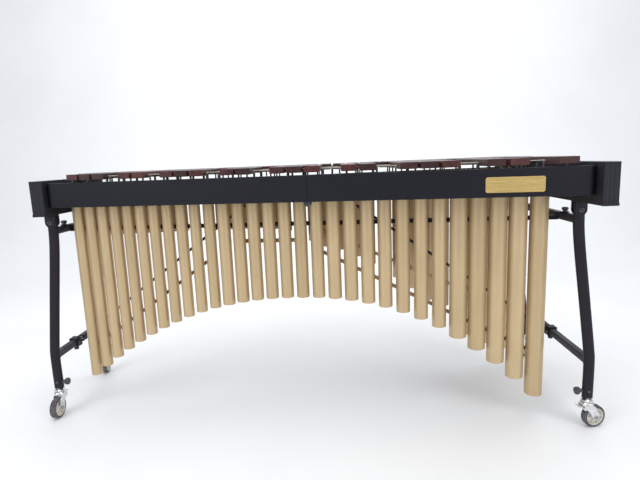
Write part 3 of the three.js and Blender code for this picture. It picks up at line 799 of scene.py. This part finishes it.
def make_board_joint(row, face):
    """The steel plate behind the seam, its half-round tongue and its four screws."""
    thick = 0.006
    turn = math.atan(row.sign * row.slope)
    inset = BOARD_THICK + (thick / 2 + GAP) / math.cos(turn)
    at = Vector((SEAM_X, row.frame_y(SEAM_X) - row.sign * inset, 0))
    place = HOME @ Matrix.Translation(at) @ Matrix.Rotation(turn, 4, "Z")
    tongue_z = BOARD_BOTTOM - 0.003
    half, tongue = 0.060, 0.013
    low, high = BOARD_BOTTOM + 0.008, row.board_top - 0.014
    outline = [(-half, low), (-tongue, low), *arc((0, tongue_z), tongue, 180, 360, 14)]
    outline += [(tongue, low), (half, low), (half, high), (-half, high)]
    mesh = bmesh.new()
    prism(mesh, outline, "Y", -thick / 2, thick / 2)
    node = f"{face}_board_joint"
    make(f"{node}_plate", mesh, "black_plastic", "frame", 0.0008, place, [node])
    screws = bmesh.new()
    inner = -row.sign
    for x in (-0.042, 0.042):
        for z in (BOARD_BOTTOM + 0.018, row.board_top - 0.024):
            start = inner * thick / 2
            pin(screws, (x, start, z), (x, start + inner * 0.003, z), 0.0055, 20, 0.0015)
    make(f"{node}_screws", screws, "chrome", "frame", 0, place)


def fluted_outline(x, half, front, back):
    """Plan of an end block: three shallow grooves in each of its two ends."""
    groove_half, groove_depth = 0.003, 0.0013
    turns = [math.pi * i / 6 for i in range(7)]
    points = []
    for y, direction in ((front, 1), (back, -1)):
        row = [(x - direction * half, y)]
        for offset in (-0.012, 0.0, 0.012):
            center = x + direction * offset
            for turn in turns:
                along = direction * groove_half * math.cos(turn)
                row.append((center - along, y + direction * groove_depth * math.sin(turn)))
        row.append((x + direction * half, y))
        points.extend(row)
    return points


def make_end_block(side):
    s = SIDES[side]
    home = keyboard_middle()
    low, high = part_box(f"end_board_{side}")
    front = low.y - home.y + 0.003
    back = high.y - home.y - 0.003
    half = (END_OUTER - END_INNER) / 2
    x = s * (END_INNER + half)
    mesh = bmesh.new()
    lip = END_BOTTOM + 0.009
    cap = END_TOP - 0.0105
    y, deep = (front + back) / 2, back - front
    prism(mesh, fluted_outline(x, half, front, back), "Z", lip - 0.001, cap + 0.001)
    block(mesh, (2 * half, deep, END_TOP - cap), (x, y, (END_TOP + cap) / 2))
    block(mesh, (2 * half, deep + 0.006, lip - END_BOTTOM), (x, y, (lip + END_BOTTOM) / 2))
    node = f"end_board_{side}"
    make(f"{node}_block", mesh, "black_moulding", "frame", 0.0022, stands_for=[node], sharp=50)
    screws = bmesh.new()
    for row in ROWS:
        for share in (NODE_SHARE, 1 - NODE_SHARE):
            y = row.y(s * END_OUTER, share)
            z = (RAIL_TOP + RAIL_BOTTOM) / 2
            start, end = s * (END_OUTER - 0.001), s * (END_OUTER + 0.0022)
            pin(screws, (start, y, z), (end, y, z), 0.006, 24, 0.0016)
    make(f"{node}_screws", screws, "chrome", "frame")


def make_centre_plate():
    high, low = STAY_TOP["high"][0], STAY_TOP["low"][0]
    top = RAIL_BOTTOM - GAP
    mesh = bmesh.new()
    block(mesh, (low - high + 0.060, 0.176, 0.006), ((low + high) / 2, 0, top - 0.003))
    radius = 0.010
    for x, z in STAY_TOP.values():
        ear = [(x + radius, top - 0.004), (x - radius, top - 0.004)]
        ear += arc((x, z), radius, 180, 360, 12)
        for side in (-1, 1):
            prism(mesh, ear, "Y", side * LUG_Y - LUG_HALF, side * LUG_Y + LUG_HALF)
    make("centre_plate_steel", mesh, "powder_coat", "frame", 0.0009, stands_for=["centre_plate"])
    bolts = bmesh.new()
    for x, z in STAY_TOP.values():
        bolt_across(bolts, x, z, 0.0155, 0.012, 0.0045, 0.0008)
    for x in (low, high):
        for y in (-0.075, 0.075):
            pin(bolts, (x, y, top - 0.006), (x, y, top - 0.0095), 0.006, 24, 0.0016)
    make("centre_plate_bolts", bolts, "chrome", "frame")


def make_nameplate():
    """A blank plate with rounded corners and a raised rim, lying along the slanted board."""
    row = ROWS[0]
    x, width, height = 0.634, 0.160, 0.044
    turn = math.atan(row.sign * row.slope)
    at = Vector((x, row.frame_y(x) - GAP, 0.812))
    place = HOME @ Matrix.Translation(at) @ Matrix.Rotation(turn, 4, "Z")
    mesh = bmesh.new()
    prism(mesh, rounded(width, height, 0.006, 8), "Y", -0.0012, 0.0)
    inset = [(a * 0.975, b * 0.91) for a, b in rounded(width, height, 0.006, 8)]
    prism(mesh, inset, "Y", -0.0016, -0.0004)
    make("blank_gold_plate", mesh, "gold_plate", "frame", 0.0003, place, ["blank_nameplate"], 40)


# ---- Resonators ----


def make_tube(row, index, x, note):
    """A drawn tube with eased rims, and a stopper a quarter wave down where it sounds."""
    outer = tube_radius(x)
    inner = outer - TUBE_WALL
    end = tube_end(row, x, note)
    ease = TUBE_WALL / 3
    profile = [
        (inner, end + ease), (inner + ease, end), (outer - ease, end), (outer, end + ease),
        (outer, TUBE_TOP - ease), (outer - ease, TUBE_TOP),
        (inner + ease, TUBE_TOP), (inner, TUBE_TOP - ease),
    ]
    mesh = bmesh.new()
    place = Matrix.Translation((x, row.tube_y(x), 0))
    lathe(mesh, profile, place, 48, closed=True)
    if note is not None:
        stop = max(end + 0.006, TUBE_TOP - quarter_wave(note))
        under = stop - 0.004
        dish = [(0, under), (inner, under), (inner, stop), (inner * 0.9, stop - 0.001), (0, stop)]
        lathe(mesh, dish, place, 48)
    return make(f"{row.name}_tube_{index:02d}", mesh, "champagne", "frame")


def along_row(mesh, outline, line_y, half):
    """Thickens an outline in X and Z along Y, and shears it to follow a slanted row."""
    skin(mesh, [[mesh.verts.new((x, line_y(x) + d, z)) for x, z in outline] for d in (-half, half)])


def hanger_outline(row):
    """A bar with a riser near each end, up or down to the lugs that lie on the cross bars."""
    bottom = row.hanger_bottom
    top = bottom + HANGER_HEIGHT
    under, over = (RISER_OUTER, RISER_INNER) if bottom < LUG_BOTTOM else (RISER_INNER, RISER_OUTER)
    reach = UPPER_BAR[0] + CROSS_SIZE / 2
    half = [
        (under, bottom), (under, LUG_BOTTOM), (reach, LUG_BOTTOM),
        (reach, LUG_TOP), (over, LUG_TOP), (over, top),
    ]
    return half + [(-x, z) for x, z in half[::-1]]


def make_hanger(row):
    """The black bar that the tubes are riveted to, with a lug at each end."""
    mesh = bmesh.new()
    along_row(mesh, hanger_outline(row), row.hanger_y, HANGER_DEPTH / 2)
    make(f"{row.name}_hanger", mesh, "powder_coat", "frame", 0.0008)
    rivets = bmesh.new()
    z = row.hanger_bottom + HANGER_HEIGHT / 2
    for x, _, _ in row.tubes:
        y = row.hanger_y(x) - row.sign * HANGER_DEPTH / 2
        pin(rivets, (x, y, z), (x, y - row.sign * 0.0018, z), 0.0032, 16, 0.0012)
    make(f"{row.name}_hanger_rivets", rivets, "zinc", "frame")


def make_ties(row):
    strips = bmesh.new()
    rivets = bmesh.new()
    for (x0, z0), (x1, z1) in row.ties:
        def y_of(x):
            return row.back_y(x) - row.sign * (TIE_DEPTH / 2 - BITE)

        half = TIE_DEPTH / 2
        outline = [(x0, z0), (x1, z1), (x1, z1 + TIE_HEIGHT), (x0, z0 + TIE_HEIGHT)]
        along_row(strips, outline, y_of, half)
        for x, _, _ in row.tubes:
            if x0 < x < x1:
                z = z0 + (z1 - z0) * (x - x0) / (x1 - x0) + TIE_HEIGHT / 2
                y = y_of(x) - row.sign * half
                pin(rivets, (x, y, z), (x, y - row.sign * 0.0015, z), 0.0028, 14, 0.001)
    make(f"{row.name}_tie_strips", strips, "bronze_strip", "frame", 0.0005)
    make(f"{row.name}_tie_rivets", rivets, "zinc", "frame")


def make_resonators(row):
    for index, (x, _, note) in enumerate(row.tubes, 1):
        piece = make_tube(row, index, x, note)
        if index == 1:
            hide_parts(f"{row.name}_resonators")
    make_hanger(row)
    make_ties(row)


# ---- Legs and stays ----


def smooth_path(points, steps):
    """Catmull-Rom through (x, z) points, as the CAD legs are."""
    ends = [2 * points[0] - points[1], *points, 2 * points[-1] - points[-2]]
    path = []
    for i in range(1, len(ends) - 2):
        p0, p1, p2, p3 = ends[i - 1:i + 3]
        for k in range(steps):
            t = k / steps
            path.append(0.5 * (
                2 * p1 + (p2 - p0) * t
                + (2 * p0 - 5 * p1 + 4 * p2 - p3) * t * t
                + (3 * p1 - p0 - 3 * p2 + p3) * t ** 3
            ))
    path.append(ends[-2])
    return path


def leg_section():
    flat = (LEG_LONG - LEG_SHORT) / 2
    radius = LEG_SHORT / 2
    return arc((flat, 0), radius, -90, 90, 12) + arc((-flat, 0), radius, 90, 270, 12)


def make_leg_frame(side):
    s = SIDES[side]
    ys = LEG_Y[side]
    mesh = bmesh.new()
    for face in FACES:
        points = [Vector((s * x, ys[face], z)) for x, z in LEG_PATH]
        sweep(mesh, smooth_path(points, 6), leg_section())
    node = f"leg_frame_{side}"
    make(f"{node}_tubes", mesh, "powder_coat", "frame", 0.0008, stands_for=[node], sharp=50)
    bars = bmesh.new()
    for x, z in (UPPER_BAR, LOWER_BAR):
        outline = [(s * x + a, z + b) for a, b in rounded(CROSS_SIZE, CROSS_SIZE, 0.004, 5)]
        prism(bars, outline, "Y", ys["audience"], ys["player"])
    make(f"{node}_cross_bars", bars, "powder_coat", "frame", sharp=50)
    make_welds(side)
    make_foot_bolts(side)


def make_welds(side):
    """A small bead round each end of a cross bar."""
    s = SIDES[side]
    mesh = bmesh.new()
    for face, inward in (("audience", 1), ("player", -1)):
        y = LEG_Y[side][face] + inward * LEG_SHORT / 2
        for x, z in (UPPER_BAR, LOWER_BAR):
            size = CROSS_SIZE + 0.004
            wide = [(s * x + a, z + b) for a, b in rounded(size, size, 0.005, 5)]
            prism(mesh, wide, "Y", *sorted((y - inward * 0.002, y + inward * 0.0016)))
    make(f"leg_frame_{side}_welds", mesh, "powder_coat", "frame", 0.0012, sharp=50)


def make_foot_bolts(side):
    """The dark socket screw on the outer face of each leg, near its foot."""
    s = SIDES[side]
    mesh = bmesh.new()
    for face, outward in (("audience", -1), ("player", 1)):
        y = LEG_Y[side][face] + outward * LEG_SHORT / 2
        start = Vector((s * FOOT_X, y - outward * 0.001, CLAMP_Z))
        pin(mesh, start, start + Vector((0, outward * 0.0026, 0)), 0.0045, 24, 0.001)
    make(f"leg_frame_{side}_foot_screws", mesh, "black_plastic", "frame")


def make_yoke(side, face):
    x = SIDES[side] * PIVOT_X
    y = LEG_Y[side][face]
    top = END_BOTTOM - GAP
    cheek = LEG_SHORT / 2 + GAP + 0.002
    radius = 0.018
    mesh = bmesh.new()
    block(mesh, (0.036, 2 * cheek + 0.004, 0.004), (x, y, top - 0.002))
    for side_y in (-1, 1):
        plate = [(x + radius, top - 0.001), (x - radius, top - 0.001)]
        plate += arc((x, PIVOT_Z), radius, 180, 360, 20)
        prism(mesh, plate, "Y", y + side_y * cheek - 0.002, y + side_y * cheek + 0.002)
    node = f"leg_yoke_{side}_{face}"
    make(f"{node}_bracket", mesh, "powder_coat", "frame", 0.0008, stands_for=[node], sharp=50)
    bolts = bmesh.new()
    for side_y in (-1, 1):
        start = y + side_y * (cheek + 0.001)
        flip = Matrix.Rotation(-side_y * math.pi / 2, 4, "X")
        dome = [
            (0, 0), (0.0085, 0), (0.0085, 0.0012), (0.0078, 0.0030),
            (0.0058, 0.0046), (0.0030, 0.0052), (0.0028, 0.0030), (0, 0.0030),
        ]
        lathe(bolts, dome, Matrix.Translation((x, start, PIVOT_Z)) @ flip, 28)
    make(f"{node}_bolts", bolts, "black_plastic", "frame")


def ring_plate(mesh, x, z, outer, inner, half):
    """A flat eye with its hole along Y."""
    turn = Matrix.Translation((x, 0, z)) @ Matrix.Rotation(math.pi / 2, 4, "X")
    ease = 0.001
    profile = [
        (inner, -half), (outer - ease, -half), (outer, -half + ease),
        (outer, half - ease), (outer - ease, half), (inner, half),
    ]
    lathe(mesh, profile, turn, 32, closed=True)


def make_stay(side):
    top = STAY_TOP[side]
    foot = (SIDES[side] * STAY_FOOT[0], STAY_FOOT[1])
    mesh = bmesh.new()
    start = Vector((foot[0], 0, foot[1]))
    end = Vector((top[0], 0, top[1]))
    along = (end - start).normalized()
    pin(mesh, start + along * 0.0075, end - along * 0.0075, 0.005, 24)
    for x, z in (top, foot):
        ring_plate(mesh, x, z, 0.009, 0.0043, 0.0055)
    make(f"stay_rod_{side}_steel", mesh, "powder_coat", "frame", stands_for=[f"stay_rod_{side}"])


def make_stay_clamp(side):
    s = SIDES[side]
    x, z = s * LOWER_BAR[0], LOWER_BAR[1]
    inner = CROSS_SIZE + 2 * GAP
    outer = inner + 2 * CLAMP_WALL
    mesh = bmesh.new()
    for sign in (-1, 1):
        off = sign * (inner + CLAMP_WALL) / 2
        block(mesh, (CLAMP_WALL, CLAMP_LONG, outer), (x + off, 0, z))
        block(mesh, (outer, CLAMP_LONG, CLAMP_WALL), (x, 0, z + off))
    foot_x, foot_z = s * STAY_FOOT[0], STAY_FOOT[1]
    low_x, high_x = sorted((foot_x - s * 0.008, x - s * 0.013))
    low_z, high_z = foot_z - 0.014, foot_z + 0.004
    cheek = [(low_x, low_z), (high_x, low_z), (high_x, high_z), (low_x, high_z)]
    for sign in (-1, 1):
        prism(mesh, cheek, "Y", sign * LUG_Y - LUG_HALF, sign * LUG_Y + LUG_HALF)
    node = f"stay_clamp_{side}"
    make(f"{node}_saddle", mesh, "powder_coat", "frame", 0.001, stands_for=[node])
    bolt = bmesh.new()
    under = z - outer / 2
    pin(bolt, (x, 0, under + 0.002), (x, 0, under - 0.012), 0.004, 20)
    bolt_across(bolt, foot_x, foot_z, 0.0125, 0.012, 0.0025)
    make(f"{node}_bolts", bolt, "chrome", "frame")
    knob = bmesh.new()
    lobed(knob, 0.0095, 0.010, Matrix.Translation((x, 0, under - 0.0155)), 6)
    make(f"{node}_thumb_nut", knob, "black_plastic", "frame", 0.0005)


# ---- Knobs ----


def lobed(mesh, radius, thick, turn, lobes):
    """A knob whose rim waves in and out, standing on its own Z = 0, slightly crowned."""
    steps = lobes * 10
    layers = [(0.0, 0.62), (0.12, 0.90), (0.30, 1.0), (0.70, 1.0), (0.88, 0.92), (1.0, 0.62)]
    rings = []
    for height, share in layers:
        ring = []
        for i in range(steps):
            angle = 2 * math.pi * i / steps
            wave = 1 - 0.07 * (1 - math.cos(lobes * angle))
            reach = radius * share * wave
            point = Vector((reach * math.cos(angle), reach * math.sin(angle), height * thick))
            ring.append(mesh.verts.new(turn @ point))
        rings.append(ring)
    skin(mesh, rings)


def make_hanger_knobs():
    for row in ROWS:
        for side, s in SIDES.items():
            x = s * UPPER_BAR[0]
            base = LUG_TOP + GAP
            tag = f"{row.name}_{side}"
            at = Matrix.Translation((x, row.hanger_y(x), base))
            mesh = bmesh.new()
            pin(mesh, at @ Vector((0, 0, -0.0147)), at @ Vector((0, 0, 0.001)), 0.003, 16)
            lathe(mesh, [(0, 0), (0.0075, 0), (0.0068, 0.003), (0, 0.003)], at, 28)
            lobed(mesh, 0.0108, 0.0110, at @ Matrix.Translation((0, 0, 0.003)), 5)
            node = f"resonator_knob_{tag}"
            make(f"{node}_moulding", mesh, "black_plastic", f"hanger_knob_{tag}", stands_for=[node])


def make_clamp_knob(side, face):
    s = SIDES[side]
    tag = f"{side}_{face}"
    head_x = s * (FOOT_X - LEG_LONG / 2 - 0.009)
    turn = Matrix.Rotation(-s * math.pi / 2, 4, "Y")
    turn = Matrix.Translation((head_x, LEG_Y[side][face], CLAMP_Z)) @ turn
    mesh = bmesh.new()
    neck = [(0, -0.0086), (0.0062, -0.0086), (0.0058, -0.003), (0.0080, 0.003), (0, 0.003)]
    lathe(mesh, neck, turn, 28)
    lobed(mesh, 0.0128, 0.0170, turn @ Matrix.Translation((0, 0, -0.001)), 7)
    body = f"clamp_knob_{tag}"
    make(f"leg_knob_{tag}_moulding", mesh, "black_plastic", body, stands_for=[f"leg_knob_{tag}"])
    screw = bmesh.new()
    pin(screw, turn @ Vector((0, 0, 0.001)), turn @ Vector((0, 0, -0.0175)), 0.0029, 16)
    make(f"leg_knob_{tag}_screw", screw, "zinc", body)


# ---- Casters ----


def caster_place(side, face):
    foot = Vector((SIDES[side] * FOOT_X, LEG_Y[side][face], 0))
    turn = Matrix.Rotation(math.radians(CASTER_HEADING[side][face]), 4, "Z")
    return HOME @ Matrix.Translation(foot) @ turn


def make_stem(tag, place):
    mesh = bmesh.new()
    profile = [
        (0, HEAD_BOTTOM - 0.0023), (0.0065, HEAD_BOTTOM - 0.0023), (0.0075, HEAD_BOTTOM - 0.0010),
        (0.0075, HEAD_BOTTOM - GAP), (0.005, HEAD_BOTTOM - GAP), (0.005, HEAD_TOP + GAP),
        (0.0170, HEAD_TOP + GAP), (0.0188, HEAD_TOP + 0.0018), (0.0180, HEAD_TOP + 0.0052),
        (0.0140, HEAD_TOP + 0.0085), (0.0095, HEAD_TOP + 0.0105), (0.0090, 0.1036),
        (0.0075, 0.1037), (0.0075, 0.192), (0.0062, 0.194), (0, 0.194),
    ]
    lathe(mesh, profile, steps=44)
    node = f"caster_stem_{tag}"
    make(f"{node}_steel", mesh, "chrome", f"height_stem_{tag}", 0, place, [node])


def fork_blade():
    """One pressed side of the fork, drawn in X and Z."""
    return [
        (-0.0180, 0.0800), (0.0120, 0.0800), (0.0200, 0.0760), (0.0280, 0.0640), (0.0335, 0.0480),
        *arc((CASTER_TRAIL, WHEEL_RADIUS), 0.0095, 20, -150, 14),
        (0.0100, 0.0430), (0.0020, 0.0560), (-0.0080, 0.0655), (-0.0180, 0.0670),
    ]


def make_fork(tag, place):
    mesh = bmesh.new()
    head = [
        (0.0053, HEAD_BOTTOM), (0.0200, HEAD_BOTTOM), (0.0210, HEAD_BOTTOM + 0.003),
        (0.0210, HEAD_TOP - 0.005), (0.0195, HEAD_TOP - 0.0020),
        (0.0165, HEAD_TOP), (0.0053, HEAD_TOP),
    ]
    lathe(mesh, head, steps=44, closed=True)
    thick = 0.0025
    for side in (-1, 1):
        low = side * FORK_HALF if side > 0 else -FORK_HALF - thick
        prism(mesh, fork_blade(), "Y", low, low + thick)
    node, body = f"caster_fork_{tag}", f"swivel_fork_{tag}"
    make(f"{node}_pressing", mesh, "chrome", body, 0.0007, place, [node], 40)
    axle = bmesh.new()
    outer = FORK_HALF + thick
    bolt_across(axle, CASTER_TRAIL, WHEEL_RADIUS, outer + 0.004, outer, 0.003, steps=24)
    make(f"{node}_axle", axle, "zinc", body, 0, place)


def wheel_turn():
    axle = Matrix.Translation((CASTER_TRAIL, 0, WHEEL_RADIUS))
    return axle @ Matrix.Rotation(math.pi / 2, 4, "X")


def make_tyre(tag, place):
    half = WHEEL_WIDTH / 2
    inner = 0.0293
    shoulder = [
        (WHEEL_RADIUS - 0.0045 + 0.0045 * math.sin(a), half - 0.0045 * (1 - math.cos(a)))
        for a in [math.pi / 2 * i / 6 for i in range(7)]
    ]
    profile = [(inner, -half), *[(r, -h) for r, h in shoulder], *shoulder[::-1], (inner, half)]
    mesh = bmesh.new()
    lathe(mesh, profile, wheel_turn(), 64, closed=True)
    node = f"caster_tyre_{tag}"
    make(f"{node}_rubber", mesh, "rubber", f"wheel_{tag}", 0, place, [node])


def make_hub(tag, place):
    """A dished centre with a rim, six ribs and a bearing boss."""
    half = WHEEL_WIDTH / 2
    mesh = bmesh.new()
    profile = [
        (0.0043, -half - 0.001), (0.0100, -half - 0.001), (0.0110, -half), (0.0118, -half + 0.0045),
        (0.0235, -half + 0.0060), (0.0258, -half + 0.0010), (0.0270, -half), (0.0290, -half),
    ]
    mirrored = [(r, -h) for r, h in profile[::-1]]
    lathe(mesh, profile + mirrored, wheel_turn(), 48, closed=True)
    for i in range(6):
        angle = 2 * math.pi * i / 6
        turn = wheel_turn() @ Matrix.Rotation(angle, 4, "Z")
        for side in (-1, 1):
            low, high = sorted((side * (half - 0.0062), side * (half - 0.0018)))
            corners = [(0.0105, -0.0011), (0.0260, -0.0008), (0.0260, 0.0008), (0.0105, 0.0011)]
            ends = [[turn @ Vector((a, b, c)) for a, b in corners] for c in (low, high)]
            skin(mesh, [[mesh.verts.new(corner) for corner in end] for end in ends])
    node = f"caster_hub_{tag}"
    make(f"{node}_moulding", mesh, "pale_plastic", f"wheel_{tag}", 0, place, [node])


def make_brake(tag, place):
    """The pressed pedal on the other side of the stem from the wheel."""
    low, high = -WHEEL_WIDTH / 2, WHEEL_WIDTH / 2
    mesh = bmesh.new()
    outline = [
        (-0.0095, 0.0615), (-0.0092, 0.0740), (-0.0120, 0.0760),
        (-0.0340, 0.0795), (-0.0365, 0.0790), (-0.0350, 0.0772),
        (-0.0160, 0.0735), (-0.0125, 0.0700), (-0.0112, 0.0615),
    ]
    prism(mesh, outline, "Y", low, high)
    for i in range(4):
        x = -0.0185 - 0.0042 * i
        z = 0.0772 + 0.00067 * i
        pin(mesh, (x, low + 0.003, z), (x, high - 0.003, z), 0.0008, 8)
    node, body = f"caster_brake_{tag}", f"brake_{tag}"
    make(f"{node}_pedal", mesh, "chrome", body, 0.0004, place, [node], 50)
    barrel = bmesh.new()
    (x, z), reach = BRAKE_PIVOT, FORK_HALF + 0.003
    pin(barrel, (x, -reach, z), (x, reach, z), 0.002, 16)
    make(f"{node}_pin", barrel, "zinc", body, 0, place)


def make_caster(side, face):
    tag = f"{side}_{face}"
    place = caster_place(side, face)
    make_stem(tag, place)
    make_fork(tag, place)
    make_tyre(tag, place)
    make_hub(tag, place)
    make_brake(tag, place)


# ---- Stage, lights and camera ----


def make_stage():
    """A pale floor that curves up into a pale wall behind the instrument."""
    mesh = bmesh.new()
    far, wall, height = -7.0, 3.4, 6.0
    curve = [(wall - 1.5 + a, 1.5 + b) for a, b in arc((0, 0), 1.5, -90, 0, 24)]
    profile = [(far, 0.0), *curve, (wall, height)]
    rows = [[mesh.verts.new((x, y, z)) for y, z in profile] for x in (-9.0, 9.0)]
    for i in range(len(profile) - 1):
        add_face(mesh, [rows[0][i], rows[1][i], rows[1][i + 1], rows[0][i + 1]])
    data = bpy.data.meshes.new("studio_floor")
    mesh.to_mesh(data)
    mesh.free()
    data.shade_smooth()
    data.materials.append(pale_floor())
    place_object("studio_floor", data)


def make_light(name, at, target, size, watts, color):
    data = bpy.data.lights.new(name, "AREA")
    data.shape = "RECTANGLE"
    data.size, data.size_y = size
    data.energy = watts
    data.color = color
    light = place_object(name, data)
    light.location = at
    light.rotation_euler = (Vector(target) - Vector(at)).to_track_quat("-Z", "Y").to_euler()


def make_lights():
    make_light("overhead", (0.0, -0.6, 3.2), (0.0, 0.0, 0.4), (4.0, 3.0), 62, (1.0, 0.99, 0.97))
    make_light("front_left", (-2.8, -3.2, 2.0), (0.0, 0.0, 0.6), (2.0, 2.0), 50, (0.96, 0.98, 1.0))
    make_light("front_right", (2.9, -3.0, 1.8), (0.0, 0.0, 0.5), (2.0, 2.0), 38, (1.0, 0.99, 0.97))
    make_light("wall_wash", (0.0, 1.4, 3.6), (0.0, 3.2, 0.6), (5.0, 1.0), 42, (1.0, 1.0, 1.0))
    world = bpy.data.worlds.new("studio")
    world.use_nodes = True
    background = world.node_tree.nodes["Background"]
    background.inputs["Color"].default_value = (0.93, 0.96, 1.0, 1.0)
    background.inputs["Strength"].default_value = 0.60
    bpy.context.scene.world = world
    bpy.context.scene.view_settings.view_transform = "Standard"


def make_camera():
    """A wide lens low in front, turned a little to the high notes and tipped down."""
    data = bpy.data.cameras.new("camera")
    data.lens = 27.05
    camera = place_object("camera", data)
    yaw, pitch, roll = math.radians(2.504), math.radians(-9.51), math.radians(-2.26)
    ahead = Vector((-math.sin(yaw), math.cos(yaw), 0.0))
    forward = ahead * math.cos(pitch) + Vector((0.0, 0.0, math.sin(pitch)))
    level = Vector((math.cos(yaw), math.sin(yaw), 0.0))
    upright = level.cross(forward)
    right = math.cos(roll) * level + math.sin(roll) * upright
    up = -math.sin(roll) * level + math.cos(roll) * upright
    turn = Matrix((right, up, -forward)).transposed().to_4x4()
    camera.matrix_world = HOME @ Matrix.Translation((0.1384, -1.7794, 0.9030)) @ turn
    bpy.context.scene.camera = camera


# ---- Assembly ----

for row in ROWS:
    make_bars(row)
    make_rail(row, "inner", NODE_SHARE)
    make_rail(row, "outer", 1 - NODE_SHARE)
    make_boards(row)
    make_resonators(row)
make_centre_plate()
make_nameplate()
make_hanger_knobs()
for side in SIDES:
    make_end_block(side)
    make_leg_frame(side)
    make_stay(side)
    make_stay_clamp(side)
    for face in FACES:
        make_yoke(side, face)
        make_clamp_knob(side, face)
        make_caster(side, face)
make_stage()
make_lights()
make_camera()
